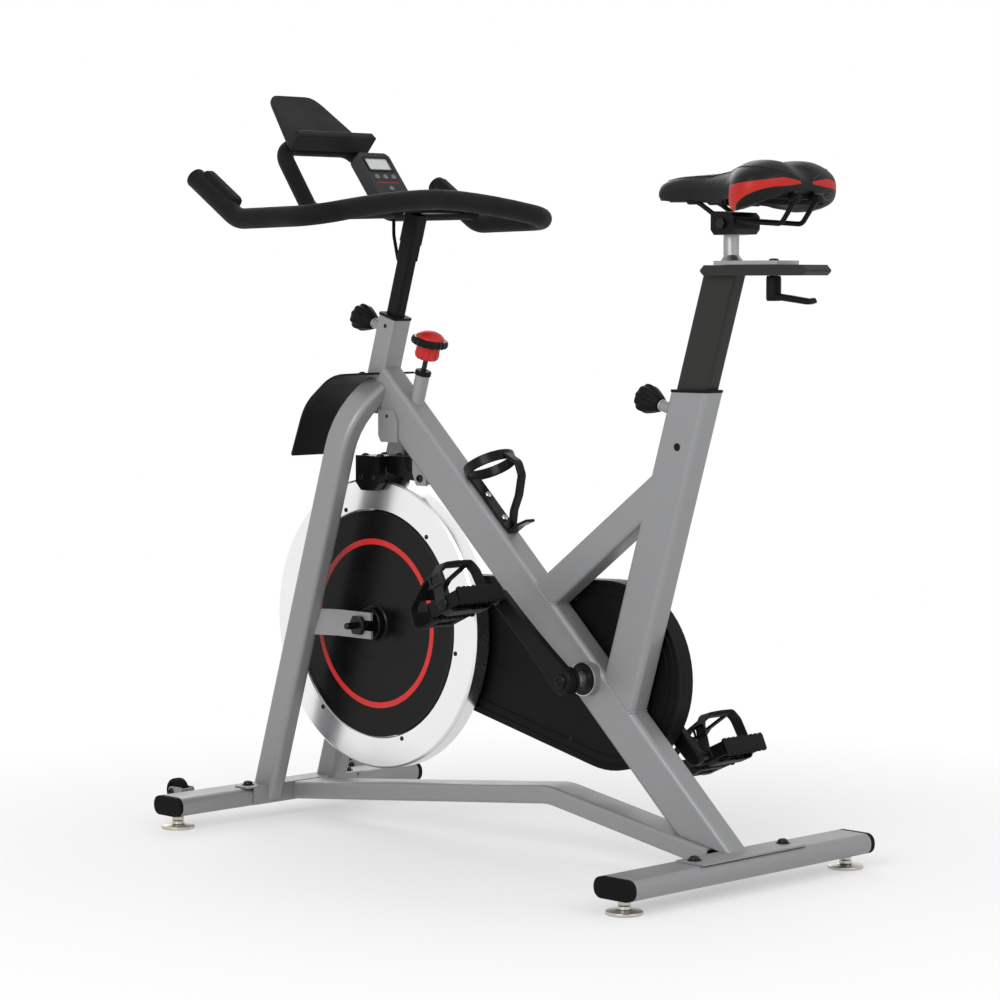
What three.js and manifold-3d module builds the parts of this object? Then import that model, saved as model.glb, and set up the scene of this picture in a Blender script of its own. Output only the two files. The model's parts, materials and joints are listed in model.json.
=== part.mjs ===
// Indoor spin bike, in millimetres. +X is forward, +Y is the rider's left, +Z is up.
// The origin is on the floor, under the middle of the bike.
import * as THREE from 'three';
import { mergeVertices } from 'three/addons/utils/BufferGeometryUtils.js';
import Module from 'manifold-3d';

const wasm = await Module();
wasm.setup();

// ---------- driving dimensions ----------
const GAP = 0.3;                             // clearance between pieces that touch
const WALL = 2.5;                            // wall of the frame tubes
const LEAN = THREE.MathUtils.degToRad(17);   // head tube and seat tube lean back by this
const SIDES = [['left', 1], ['right', -1]];

const STABILIZER = { half: 252, z: 37, height: 30, corner: 13.5 };
const REAR = { x: -444.5, depth: 72 };
const FRONT = { x: 505, depth: 63 };
const CAP = { flange: 8, spigot: 8, wall: 2.5 };
const FOOT = { y: 237.5, r: 26, stem: 5, top: 34 };
const PLATE = { thickness: 2.6, half: 111, low: 25, rear: -30, front: 20, frontHalf: 124, upright: 110 };

const RAIL = {
  width: 58, height: 28, corner: 6, bend: 90, front: [492, 37.5], knee: [-95, 98], rear: [-430, 39.5],
};
const BEAM = { width: 40, depth: 64, corner: 9, slope: 0.939, rise: 430.1, low: -425, high: 285 };
const SEAT_TUBE = { width: 39, depth: 68, corner: 9, topX: -361.5, topZ: 697, bottomZ: 222 };
const BRACE = { width: 39, depth: 46, corner: 7, low: [-50, 371.4], high: [-322, 572.7] };
const HEAD = { size: 37, corner: 4, topX: 259.5, topZ: 798, length: 150 };
const FORK = { y: 66.5, width: 31, depth: 46, corner: 9, footX: 490, slope: 0.3153 };
const FORK_BEND = { z: 595, r: 115, turn: 56, tail: 15 };

const FLYWHEEL = { x: 293, z: 321, r: 227, half: 16, discR: 178, hubR: 26, hubHalf: 29, bore: 8.5 };
const AXLE = { r: 8, studR: 4.5, spacerR: 12, nutR: 14, nut: 8, end: 74 };
const AXLE_TAB = {
  rear: 268, bend: 345, leg: 384, half: 20.5, thickness: 4.5,
  left: { inner: 41, step: 15 }, right: { inner: 58, step: 0 },
};
const CRANK = {
  x: -171, z: 277, length: 170, angle: THREE.MathUtils.degToRad(41), inner: 63, outer: 79, spindleR: 10,
};
const SHELL = { r: 25, bore: 17.3, half: 31 };
const PULLEY = { drive: 108, driven: 29, y: -40, half: 8 };
const BELT = { thickness: 2.6, half: 6.5, gap: 1 };
const GUARD = { big: 140, small: 78, inner: -23, split: -31, outer: -52, wall: 2.5 };
const PEDAL = { half: 36, width: 88, height: 27, y: 144, axleR: 6, tilt: THREE.MathUtils.degToRad(25) };

const ROD = { r: 4, x: 191.5, z: 731, tubeR: 11.5, tubeTop: 710, top: 742, bottom: 586.5 };
const KNOB = { base: 735, gripR: 29, hubR: 19 };
const BRAKE = {
  pivotX: 189, pivotZ: 552, eyeR: 7.6, front: 316, rear: 262, pad: 230, under: 566, top: 584, cheekLow: 530,
};

const BAR = {
  r: 15.5, tip: [430, 254, 1010], bend: [333.5, 253, 947], corner: [158, 250, 950], crest: [159, 977.5],
};
const LOOP = { r: 13, y: 80, z: 961, knee: 364, top: [437.6, 1063] };
const POST = { depth: 26, width: 19, corner: 4, inside: 120, outside: 160 };
const DECK = { rear: 176, front: 282, low: 957.5, high: 963.5, half: 66.5 };
const CONSOLE = { low: [255.2, 982.3], up: [0.625, 0.781], height: 90, width: 66, depth: 22, corner: 10 };
const HOLDER = {
  low: [408, 1066], high: [500, 1148], lowHalf: 82, highHalf: 46, thickness: 7, lip: 23, lipWall: 5,
};

const SEAT_POST = { depth: 57, width: 28, corner: 6, inside: 165 };
const SLIDE_RAIL = {
  front: -390, rear: -580, width: 54, wall: 2.4, low: 861, high: 875.5,
  slotX: -501, slotHalf: 47, slotWidth: 15,
};
const SADDLE = {
  nose: -297, rear: -562, pillarX: -424, pillarR: 11, pillarTop: 932, low: 957, high: 1019,
  railY: 22, railR: 3.5,
};
const LEVER = { hubR: 10.5, low: 826, handle: 71, boltR: 6 };
const WHEEL = { x: 560, y: 193, z: 48, r: 20, half: 9, pinR: 3 };
const PIN = { knobR: 21.5, shaftR: 4, barrelR: 8, barrel: 22, headBelow: 22, seatBelow: 38 };
const CABLE = { r: 2.6, x: 262 };
const BUTTON = { r: 4.6, travel: 1, proud: 1.6, places: [[-17, -4], [0, -4], [17, -4], [0, -27]] };
const CAGE = { bottleR: 37, low: -42, high: 88, hoop: 62, hoopTilt: 19 };

// ---------- materials ----------
function finish(color, roughness, metalness) {
  return new THREE.MeshStandardMaterial({ color, roughness, metalness });
}
const silver = finish(0x9c9d9e, 0.45, 0.6);
const blackSteel = finish(0x242424, 0.5, 0.4);
const blackPlastic = finish(0x1c1c1d, 0.6, 0);
const foam = finish(0x202021, 0.75, 0);
const rubber = finish(0x151515, 0.85, 0);
const chrome = finish(0xd8d8d8, 0.12, 1);
const zinc = finish(0xb6b1a4, 0.35, 0.9);
const redPlastic = finish(0xc4271f, 0.5, 0);
const leather = finish(0x1f1f21, 0.55, 0);
const greyPlastic = finish(0x8a8c8e, 0.5, 0);

// ---------- solids ----------
// One closed, merged, outward-facing solid from a three.js geometry.
function solid(geometry) {
  const bare = geometry.clone();
  bare.deleteAttribute('normal');
  bare.deleteAttribute('uv');
  const merged = mergeVertices(bare, 1e-4);
  const points = merged.attributes.position.array;
  const faces = [];
  for (let i = 0; i < merged.index.count; i += 3) {
    const [a, b, c] = [0, 1, 2].map((k) => merged.index.getX(i + k));
    if (a !== b && b !== c && c !== a) {
      faces.push(a, b, c);
    }
  }
  if (volume(points, faces) < 0) {
    faces.reverse();
  }
  return new wasm.Manifold(new wasm.Mesh({
    numProp: 3, vertProperties: new Float32Array(points), triVerts: new Uint32Array(faces),
  }));
}

function volume(points, faces) {
  const at = (i) => new THREE.Vector3(points[3 * i], points[3 * i + 1], points[3 * i + 2]);
  let sum = 0;
  for (let i = 0; i < faces.length; i += 3) {
    sum += at(faces[i]).dot(at(faces[i + 1]).cross(at(faces[i + 2])));
  }
  return sum / 6;
}

function geometryOf(body) {
  const { vertProperties, triVerts } = body.getMesh();
  const geometry = new THREE.BufferGeometry();
  geometry.setAttribute('position', new THREE.BufferAttribute(new Float32Array(vertProperties), 3));
  geometry.setIndex(new THREE.BufferAttribute(new Uint32Array(triVerts), 1));
  return geometry;
}

function box(x0, x1, y0, y1, z0, z1) {
  const geometry = new THREE.BoxGeometry(x1 - x0, y1 - y0, z1 - z0);
  geometry.translate((x0 + x1) / 2, (y0 + y1) / 2, (z0 + z1) / 2);
  return solid(geometry);
}

// A rounded rectangle, width along x and depth along y.
function roundedRect(width, depth, r) {
  const x = width / 2 - r;
  const y = depth / 2 - r;
  const shape = new THREE.Shape();
  shape.moveTo(x + r, -y);
  shape.absarc(x, y, r, 0, Math.PI / 2);
  shape.absarc(-x, y, r, Math.PI / 2, Math.PI);
  shape.absarc(-x, -y, r, Math.PI, 1.5 * Math.PI);
  shape.absarc(x, -y, r, 1.5 * Math.PI, 2 * Math.PI);
  return shape;
}

function circle(r) {
  const shape = new THREE.Shape();
  shape.absarc(0, 0, r, 0, 2 * Math.PI);
  return shape;
}

// A tube section: the outline, and an inner outline when it has a wall.
function section({ width, depth, corner }, wall = 0, grow = 0) {
  const shape = roundedRect(width + 2 * grow, depth + 2 * grow, corner + grow);
  if (wall) {
    shape.holes.push(roundedRect(width - 2 * wall, depth - 2 * wall, Math.max(corner - wall, 1)));
  }
  return shape;
}

function extrude(shape, depth, arc = 3) {
  return new THREE.ExtrudeGeometry(shape, { depth, bevelEnabled: false, curveSegments: arc });
}

// A straight tube in the plane y = 0 from (x, z) to (x, z): its width lies along Y.
function beam(from, to, shape, arc = 3) {
  const along = new THREE.Vector3(to[0] - from[0], 0, to[1] - from[1]);
  const length = along.length();
  along.normalize();
  const across = new THREE.Vector3(-along.z, 0, along.x);
  const place = new THREE.Matrix4().makeBasis(new THREE.Vector3(0, 1, 0), across, along);
  place.setPosition(from[0], 0, from[1]);
  return solid(extrude(shape, length, arc).applyMatrix4(place));
}

function shapeOf(points) {
  return new THREE.Shape(points.map((p) => new THREE.Vector2(...p)));
}

// A plate: an outline in x and z, drawn as points or a shape, from y0 to y1.
function plate(outline, y0, y1, arc = 5) {
  const shape = outline instanceof THREE.Shape ? outline : shapeOf(outline);
  const geometry = extrude(shape, y1 - y0, arc);
  geometry.rotateX(Math.PI / 2);
  geometry.translate(0, y1, 0);
  return solid(geometry);
}

// A solid of revolution about Y (or Z when upright), from [radius, height] points.
function turned(profile, segments = 20, upright = false) {
  const geometry = new THREE.LatheGeometry(profile.map((p) => new THREE.Vector2(...p)), segments);
  if (upright) {
    geometry.rotateX(Math.PI / 2);
  }
  return solid(geometry);
}

function cylinder(r, y0, y1, segments = 20, upright = false) {
  return turned([[0, y0], [r, y0], [r, y1], [0, y1]], segments, upright);
}

function ring(outer, inner, y0, y1, segments = 24) {
  return turned([[inner, y0], [outer, y0], [outer, y1], [inner, y1], [inner, y0]], segments);
}

// A route through points that are used exactly as given.
class Route extends THREE.Curve {
  constructor(points) {
    super();
    this.points = points;
  }

  getPoint(t, target = new THREE.Vector3()) {
    const last = this.points.length - 1;
    const i = Math.min(Math.floor(t * last), last - 1);
    return target.lerpVectors(this.points[i], this.points[i + 1], t * last - i);
  }

  getUtoTmapping(u) {
    return u;
  }
}

// Corner points with each inner corner rounded to a radius, in steps of about an angle.
function rounded(corners, radius, stepDegrees = 15) {
  const points = corners.map((p) => new THREE.Vector3(...p));
  const route = [points[0]];
  for (let i = 1; i < points.length - 1; i += 1) {
    const back = points[i - 1].clone().sub(points[i]).normalize();
    const ahead = points[i + 1].clone().sub(points[i]).normalize();
    const turn = Math.PI - back.angleTo(ahead);
    const cutback = radius * Math.tan(turn / 2);
    const inward = back.clone().add(ahead).normalize();
    const centre = inward.multiplyScalar(radius / Math.cos(turn / 2)).add(points[i]);
    const from = back.clone().multiplyScalar(cutback).add(points[i]).sub(centre);
    const axis = back.clone().cross(ahead).normalize().negate();
    const steps = Math.max(1, Math.round(THREE.MathUtils.radToDeg(turn) / stepDegrees));
    for (let k = 0; k <= steps; k += 1) {
      route.push(from.clone().applyAxisAngle(axis, (turn * k) / steps).add(centre));
    }
  }
  route.push(points[points.length - 1]);
  return route;
}

function sweep(points, shape, arc = 3) {
  const route = new Route(points);
  const options = { steps: points.length - 1, extrudePath: route, bevelEnabled: false, curveSegments: arc };
  return solid(new THREE.ExtrudeGeometry(shape, options));
}

// A direction along the leaning tubes (up), and square to it (forward).
const UP = [-Math.sin(LEAN), Math.cos(LEAN)];
const AHEAD = [Math.cos(LEAN), Math.sin(LEAN)];

function along([x, z], up, ahead = 0) {
  return [x + up * UP[0] + ahead * AHEAD[0], z + up * UP[1] + ahead * AHEAD[1]];
}

// Turns a solid made about Y or Z so that its Z axis lies along AHEAD, and moves it to a point.
function faceAhead(body, [x, z]) {
  return body.rotate([0, 90 - THREE.MathUtils.radToDeg(LEAN), 0]).translate([x, 0, z]);
}

// ---------- scene graph ----------
const bike = new THREE.Group();

function add(name, body, material, parent = bike) {
  const mesh = new THREE.Mesh(geometryOf(body), material);
  mesh.name = name;
  parent.add(mesh);
  return mesh;
}

function place(name, body, material, position, parent = bike) {
  const mesh = add(name, body, material, parent);
  mesh.position.set(...position);
  return mesh;
}

// ---------- frame outlines used by several pieces ----------
const headTop = [HEAD.topX, HEAD.topZ];
const headBottom = along(headTop, -HEAD.length);
const seatTop = [SEAT_TUBE.topX, SEAT_TUBE.topZ];
const seatBottom = along(seatTop, (SEAT_TUBE.bottomZ - SEAT_TUBE.topZ) / UP[1]);
const headSection = { width: HEAD.size, depth: HEAD.size, corner: HEAD.corner };
const beamEnd = (x) => [x, BEAM.slope * x + BEAM.rise];
const railRoute = rounded([RAIL.front, RAIL.knee, RAIL.rear].map(([x, z]) => [x, 0, z]), RAIL.bend, 4);
const railSection = { width: RAIL.width, depth: RAIL.height, corner: RAIL.corner };
const stabilizerTop = STABILIZER.z + STABILIZER.height / 2;
const plateTop = stabilizerTop + GAP + PLATE.thickness;

const headEnvelope = beam(along(headBottom, -20), along(headTop, 2), section(headSection, 0, GAP));
const beamEnvelope = beam(beamEnd(BEAM.low), beamEnd(BEAM.high), section(BEAM, 0, GAP));
const railEnvelope = sweep(railRoute, section(railSection, 0, GAP), 2);

function stabilizerShape({ depth }, wall = 0, grow = 0) {
  return section({ width: depth, depth: STABILIZER.height, corner: STABILIZER.corner }, wall, grow);
}

function stabilizerBar(spot, wall, grow) {
  const geometry = extrude(stabilizerShape(spot, wall, grow), 2 * STABILIZER.half);
  geometry.rotateX(Math.PI / 2);
  geometry.translate(spot.x, STABILIZER.half, STABILIZER.z);
  return solid(geometry);
}

// ---------- frame ----------
function stabilizer(spot) {
  let bar = stabilizerBar(spot, WALL, 0);
  for (const [, side] of SIDES) {
    const hole = cylinder(FOOT.stem + GAP, 0, STABILIZER.z, 16, true);
    bar = bar.subtract(hole.translate([spot.x, side * FOOT.y, 0]));
  }
  return bar;
}

function wheelBracket(side) {
  const face = FRONT.x + FRONT.depth / 2;
  const cheek = WHEEL.half + 1;
  let bracket = box(face - 2, face + 3, -cheek - 3, cheek + 3, WHEEL.z - 16, WHEEL.z + 6);
  for (const y of [-cheek - 3, cheek]) {
    bracket = bracket.add(box(face, WHEEL.x, y, y + 3, WHEEL.z - 8, WHEEL.z + 8));
    bracket = bracket.add(cylinder(8, y, y + 3, 20).translate([WHEEL.x, 0, WHEEL.z]));
  }
  bracket = bracket.add(cylinder(WHEEL.pinR, -cheek - 1, cheek + 1, 14).translate([WHEEL.x, 0, WHEEL.z]));
  return bracket.translate([0, side * WHEEL.y, 0]);
}

function frontStabilizer() {
  let bar = stabilizer(FRONT);
  for (const [, side] of SIDES) {
    bar = bar.add(wheelBracket(side));
  }
  return bar;
}

function endCap(spot) {
  const flange = extrude(stabilizerShape(spot), CAP.flange);
  const spigot = extrude(stabilizerShape(spot, 0, -WALL - GAP), CAP.spigot + 1);
  spigot.translate(0, 0, -CAP.spigot);
  const hollow = extrude(stabilizerShape(spot, 0, -WALL - GAP - CAP.wall), CAP.spigot + 1);
  hollow.translate(0, 0, -CAP.spigot - 1);
  return solid(flange).add(solid(spigot)).subtract(solid(hollow)).rotate([-90, 0, 0]);
}

function weldPlate(x0, x1, half) {
  return box(x0, x1, -half, half, stabilizerTop + GAP, plateTop);
}

function guideRodPoint(z) {
  return [ROD.x + Math.tan(LEAN) * (ROD.z - z), z];
}

function brakeClevis() {
  const outline = [[176, 541], [198, 541], [206, 560], [206, 585], [176, 560]];
  let clevis = plate(outline, 10.6, 14.6).add(plate(outline, -14.6, -10.6));
  clevis = clevis.add(cylinder(3.5, -14.6, 14.6, 14).translate([BRAKE.pivotX, 0, BRAKE.pivotZ]));
  const tab = [[231, 606], [268, 606], [274, 616], [274, 656], [240, 656], [231, 640]];
  for (const y of [BEAM.width / 2 - 1, -BEAM.width / 2 - 3]) {
    clevis = clevis.add(plate(tab, y, y + 4));
  }
  return clevis;
}

function mainBeam() {
  const tube = beam(beamEnd(BEAM.low), beamEnd(BEAM.high), section(BEAM, WALL));
  const shell = cylinder(SHELL.r, -SHELL.half, SHELL.half, 24).translate([CRANK.x, 0, CRANK.z]);
  const bore = cylinder(SHELL.bore, -SHELL.half - 1, SHELL.half + 1, 24).translate([CRANK.x, 0, CRANK.z]);
  const guide = beam(guideRodPoint(660), guideRodPoint(ROD.tubeTop), circle(ROD.tubeR), 6);
  const inside = beam(beamEnd(BEAM.low), beamEnd(BEAM.high), section(BEAM, 0, -WALL / 2));
  const rodHole = beam(guideRodPoint(560), guideRodPoint(760), circle(ROD.r + 1), 5);
  let body = tube.add(shell).subtract(bore).add(guide.subtract(inside)).add(brakeClevis()).subtract(rodHole);
  body = body.subtract(headEnvelope).subtract(railEnvelope);
  body = body.subtract(box(-520, -300, -40, 40, -40, stabilizerTop + 1.5));
  return body.add(weldPlate(REAR.x + PLATE.rear, REAR.x + PLATE.front, PLATE.half).subtract(railEnvelope));
}

function forkRoute(side) {
  const { footX, slope, y } = FORK;
  const { z, r, turn, tail } = FORK_BEND;
  const lean = Math.atan(slope);
  const bendX = footX - slope * (z - STABILIZER.z);
  const route = [new THREE.Vector3(footX, side * y, STABILIZER.z)];
  const push = (rise, inward) => {
    const x = bendX - rise * Math.sin(lean);
    route.push(new THREE.Vector3(x, side * (y - inward), z + rise * Math.cos(lean)));
  };
  const steps = 6;
  for (let k = 0; k <= steps; k += 1) {
    const angle = THREE.MathUtils.degToRad((turn * k) / steps);
    push(r * Math.sin(angle), r * (1 - Math.cos(angle)));
  }
  const last = THREE.MathUtils.degToRad(turn);
  push(r * Math.sin(last) + tail * Math.cos(last), r * (1 - Math.cos(last)) + tail * Math.sin(last));
  return route;
}

function forkLeg(side, wall, grow = 0) {
  return sweep(forkRoute(side), section(FORK, wall, grow), 2);
}

// The slotted plate that carries an end of the flywheel axle, bent inward from its leg.
function axleTab(side) {
  const { rear, bend, leg, half, thickness } = AXLE_TAB;
  const { inner, step } = side > 0 ? AXLE_TAB.left : AXLE_TAB.right;
  const outline = [[rear, inner], [bend, inner], [leg, inner + step], [leg, inner + step + thickness],
    [bend - 2, inner + thickness], [rear, inner + thickness]];
  const geometry = extrude(shapeOf(outline), 2 * half);
  geometry.translate(0, 0, FLYWHEEL.z - half);
  const reach = AXLE.r + GAP;
  let tab = solid(geometry);
  tab = tab.subtract(cylinder(reach, 30, 70, 20).translate([FLYWHEEL.x, 0, FLYWHEEL.z]));
  tab = tab.subtract(box(rear - 1, FLYWHEEL.x, 30, 70, FLYWHEEL.z - reach, FLYWHEEL.z + reach));
  return side > 0 ? tab : tab.mirror([0, 1, 0]);
}

function fork(side) {
  const bore = forkLeg(side, 0, -WALL);
  const middle = side > 0 ? box(200, 600, -200, GAP, 0, 900) : box(200, 600, -GAP, 200, 0, 900);
  const leg = forkLeg(side, WALL).add(axleTab(side).subtract(bore));
  const cutters = [headEnvelope, beamEnvelope, middle, stabilizerBar(FRONT, 0, GAP)];
  return cutters.reduce((body, cutter) => body.subtract(cutter), leg);
}

function baseRail() {
  const rear = box(-700, REAR.x + REAR.depth / 2 + GAP, -40, 40, 0, 120);
  const face = FRONT.x - FRONT.depth / 2;
  const front = box(face - PLATE.thickness / 2, 700, -40, 40, 0, 120);
  let body = sweep(railRoute, section(railSection, WALL), 3).subtract(rear).subtract(front);
  const rearFace = face - GAP - PLATE.thickness;
  body = body.add(box(rearFace, face - GAP, -PLATE.upright, PLATE.upright, PLATE.low, plateTop));
  body = body.add(box(rearFace, face + 28, -PLATE.frontHalf, PLATE.frontHalf, stabilizerTop + GAP, plateTop));
  for (const [, side] of SIDES) {
    body = body.subtract(forkLeg(side, 0, GAP));
  }
  return body;
}

function headTube() {
  const tube = beam(headBottom, headTop, section(headSection, WALL));
  const pinAt = along(headTop, -PIN.headBelow, HEAD.size / 2 - 1);
  const barrel = faceAhead(cylinder(PIN.barrelR, 0, PIN.barrel, 20, true), pinAt);
  const hole = faceAhead(cylinder(PIN.shaftR + 0.5, -6, PIN.barrel + 2, 14, true), pinAt);
  const inside = beam(headBottom, headTop, section({ ...headSection, width: 32, depth: 32, corner: 2 }));
  return tube.add(barrel.subtract(inside)).subtract(hole);
}

// Everything above the level mouth of the seat tube.
const aboveSeatTube = box(-600, 0, -60, 60, SEAT_TUBE.topZ, 1200);

function seatTube() {
  const tube = beam(seatBottom, along(seatTop, 20), section(SEAT_TUBE, WALL)).subtract(aboveSeatTube);
  const pinAt = along(seatTop, -PIN.seatBelow, SEAT_TUBE.depth / 2 - 1);
  const barrel = faceAhead(cylinder(PIN.barrelR, 0, PIN.barrel, 20, true), pinAt);
  const hole = faceAhead(cylinder(PIN.shaftR + 0.5, -6, PIN.barrel + 2, 14, true), pinAt);
  const inner = { width: SEAT_TUBE.width - 2 * WALL, depth: SEAT_TUBE.depth - 2 * WALL, corner: 3 };
  const inside = beam(seatBottom, along(seatTop, 25), section(inner));
  const brace = beam(BRACE.low, BRACE.high, section(BRACE, WALL));
  const shell = cylinder(SHELL.r + GAP, -SHELL.half - 1, SHELL.half + 1, 24).translate([CRANK.x, 0, CRANK.z]);
  const body = tube.add(barrel.subtract(inside)).add(brace.subtract(inside));
  return body.subtract(hole).subtract(beamEnvelope).subtract(shell);
}

// The hole through a tube's bush that lets its pin reach the post.
function pinHole(top, below, depth) {
  return faceAhead(cylinder(PIN.shaftR + 0.5, -9, 12, 14, true), along(top, -below, depth / 2));
}

// A plastic bush: a collar on the head tube and a sleeve inside, round the post.
function headBushing() {
  const inner = { width: HEAD.size - 2 * WALL, depth: HEAD.size - 2 * WALL, corner: 2 };
  const collar = beam(along(headTop, GAP), along(headTop, 4), section(headSection, 0, 1));
  const sleeve = beam(along(headTop, -45), along(headTop, 1), section(inner, 0, -GAP));
  const bore = beam(along(headTop, -46), along(headTop, 6), section(POST, 0, GAP));
  return collar.add(sleeve).subtract(bore).subtract(pinHole(headTop, PIN.headBelow, HEAD.size));
}

// The same on the seat tube, whose mouth is level.
function seatBushing() {
  const inner = { width: SEAT_TUBE.width - 2 * WALL, depth: SEAT_TUBE.depth - 2 * WALL, corner: 6.5 };
  const { width, depth, corner } = SEAT_TUBE;
  const rim = extrude(roundedRect(depth / Math.cos(LEAN) + 2, width + 2, corner + 1), 4 - GAP);
  rim.translate(SEAT_TUBE.topX, 0, SEAT_TUBE.topZ + GAP);
  const sleeve = beam(along(seatTop, -60), along(seatTop, 20), section(inner, 0, -GAP));
  const bore = beam(along(seatTop, -70), along(seatTop, 40), section(SEAT_POST, 0, GAP));
  const body = sleeve.subtract(box(-600, 0, -60, 60, SEAT_TUBE.topZ + 1, 1200)).add(solid(rim));
  return body.subtract(bore).subtract(pinHole(seatTop, PIN.seatBelow, SEAT_TUBE.depth));
}

function fender() {
  const outer = rounded([[276, 0, 713], [345, 0, 709], [409, 0, 662], [441, 0, 582]], 88, 5);
  const inner = [...outer].reverse().map((p) => new THREE.Vector3(p.x - 2.6, 0, p.z - 3));
  const outline = [...outer, ...inner].map((p) => [p.x, p.z]);
  return plate(outline, -56, 56).subtract(headEnvelope);
}

// The outline round two wheels, grown by some amount.
function hullShape(big, small) {
  const dx = FLYWHEEL.x - CRANK.x;
  const dz = FLYWHEEL.z - CRANK.z;
  const heading = Math.atan2(dz, dx);
  const open = Math.acos((big - small) / Math.hypot(dx, dz));
  const shape = new THREE.Shape();
  shape.absarc(CRANK.x, CRANK.z, big, heading + open, heading - open + 2 * Math.PI);
  shape.absarc(FLYWHEEL.x, FLYWHEEL.z, small, heading - open, heading + open);
  shape.closePath();
  return shape;
}

function guardShell(y0, y1, floorY0, floorY1, hole) {
  const { big, small, wall } = GUARD;
  let body = plate(hullShape(big, small), y0, y1, 18);
  body = body.subtract(plate(hullShape(big - wall, small - wall), floorY0, floorY1, 18));
  for (const [at, r] of hole) {
    body = body.subtract(cylinder(r, y0 - 5, y1 + 5, 28).translate([at.x, 0, at.z]));
  }
  return body;
}

function drivebelt() {
  const { gap, thickness } = BELT;
  const shape = hullShape(PULLEY.drive + gap + thickness, PULLEY.driven + gap + thickness);
  const hole = hullShape(PULLEY.drive + gap, PULLEY.driven + gap);
  const outer = plate(shape, PULLEY.y - BELT.half, PULLEY.y + BELT.half, 16);
  return outer.subtract(plate(hole, PULLEY.y - 20, PULLEY.y + 20, 16));
}

// The bottle cage lies along the beam: u runs up the beam and w stands square to it.
function bottleCage() {
  const { bottleR, low, high, hoop, hoopTilt } = CAGE;
  const tilt = Math.atan(BEAM.slope);
  const foot = [56, BEAM.slope * 56 + BEAM.rise];
  const lift = BEAM.depth / 2 + GAP;
  const outer = bottleR + 3;
  const band = turned([[bottleR, -7], [outer, -7], [outer, 7], [bottleR, 7], [bottleR, -7]], 28);
  const tongue = [[52, 74], [24, 84], [6, 76], [-10, 50], [-18, 28], [low + 6, 2], [low + 2, 2], [-22, 28],
    [-14, 52], [3, 79], [23, 88], [53, 78]];
  const tab = [[low, 0], [low - 5, 22], [low - 14, 40], [low - 10, 41], [low - 1, 22], [low + 4, 0]];
  let body = box(low, high, -11, 11, 0, 4);
  body = body.add(band.rotate([0, 0, -90]).rotate([0, -hoopTilt, 0]).translate([hoop, 0, bottleR + 3.5]));
  body = body.add(plate(tongue, -6, 6)).add(plate(tab, -9, 9));
  return body.rotate([0, -THREE.MathUtils.radToDeg(tilt), 0]).translate([
    foot[0] - lift * Math.sin(tilt), 0, foot[1] + lift * Math.cos(tilt),
  ]);
}

// Half of the axle's profile: the hub spacer, the tab's seat, the nut and the stud beyond it.
function axleProfile({ inner }) {
  const { r, studR, spacerR, nutR, nut, end } = AXLE;
  const outer = inner + AXLE_TAB.thickness;
  return [[0, end], [studR, end], [studR, outer + GAP + nut], [nutR, outer + GAP + nut], [nutR, outer + GAP],
    [r, outer + GAP], [r, inner - GAP], [spacerR, inner - GAP], [spacerR, FLYWHEEL.hubHalf + 1],
    [r, FLYWHEEL.hubHalf + 1]];
}

function flywheelAxle() {
  const right = axleProfile(AXLE_TAB.right).reverse().map(([radius, y]) => [radius, -y]);
  return turned([...axleProfile(AXLE_TAB.left), ...right], 16).translate([FLYWHEEL.x, 0, FLYWHEEL.z]);
}

for (const [end, spot, body] of [['front', FRONT, frontStabilizer()], ['rear', REAR, stabilizer(REAR)]]) {
  add(`${end}_stabilizer`, body, silver);
  for (const [name, side] of SIDES) {
    const cap = endCap(spot);
    place(`${end}_end_cap_${name}`, side > 0 ? cap : cap.mirror([0, 1, 0]), rubber,
      [spot.x, side * (STABILIZER.half + GAP), STABILIZER.z]);
  }
}
add('main_beam', mainBeam(), silver);
add('base_rail', baseRail(), silver);
add('head_tube', headTube(), silver);
add('seat_tube', seatTube(), silver);
add('head_bushing', headBushing(), blackPlastic);
add('seat_bushing', seatBushing(), blackPlastic);
for (const [name, side] of SIDES) {
  add(`fork_${name}`, fork(side), silver);
}
add('fender', fender(), blackPlastic);
const shaftHoles = [[CRANK, SHELL.r + 1], [FLYWHEEL, FLYWHEEL.hubR + 8]];
const innerFloor = [GUARD.split - 1, GUARD.inner - GUARD.wall];
add('belt_guard_inner', guardShell(GUARD.split, GUARD.inner, ...innerFloor, shaftHoles), blackPlastic);
const outerHoles = [[CRANK, CRANK.spindleR + 6], [FLYWHEEL, AXLE.spacerR + 4]];
const outerFloor = [GUARD.outer + GUARD.wall, GUARD.split + 1];
add('belt_guard_outer', guardShell(GUARD.outer, GUARD.split - GAP, ...outerFloor, outerHoles), blackPlastic);
add('drive_belt', drivebelt(), rubber);
add('bottle_cage', bottleCage(), blackPlastic);
add('flywheel_axle', flywheelAxle(), blackSteel);
const bracket = ring(SHELL.bore - GAP, CRANK.spindleR + GAP, -SHELL.half, SHELL.half);
add('bottom_bracket', bracket.translate([CRANK.x, 0, CRANK.z]), zinc);

// ---------- levelling feet and transport wheels ----------
const footProfile = [[0, 0], [FOOT.r - 2, 0], [FOOT.r, 2], [FOOT.r, 6], [12, 8], [8, 12], [FOOT.stem, 13],
  [FOOT.stem, FOOT.top], [0, FOOT.top]];
for (const [end, spot] of [['front', FRONT], ['rear', REAR]]) {
  for (const [name, side] of SIDES) {
    place(`${end}_foot_${name}`, turned(footProfile, 20, true), zinc, [spot.x, side * FOOT.y, 0]);
  }
}
for (const [name, side] of SIDES) {
  const { r, half, pinR } = WHEEL;
  const profile = [[pinR + GAP, -half], [r - 3, -half], [r, -half + 3], [r, half - 3], [r - 3, half],
    [pinR + GAP, half], [pinR + GAP, -half]];
  place(`transport_wheel_${name}`, turned(profile, 20), rubber, [WHEEL.x, side * WHEEL.y, WHEEL.z]);
}

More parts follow.
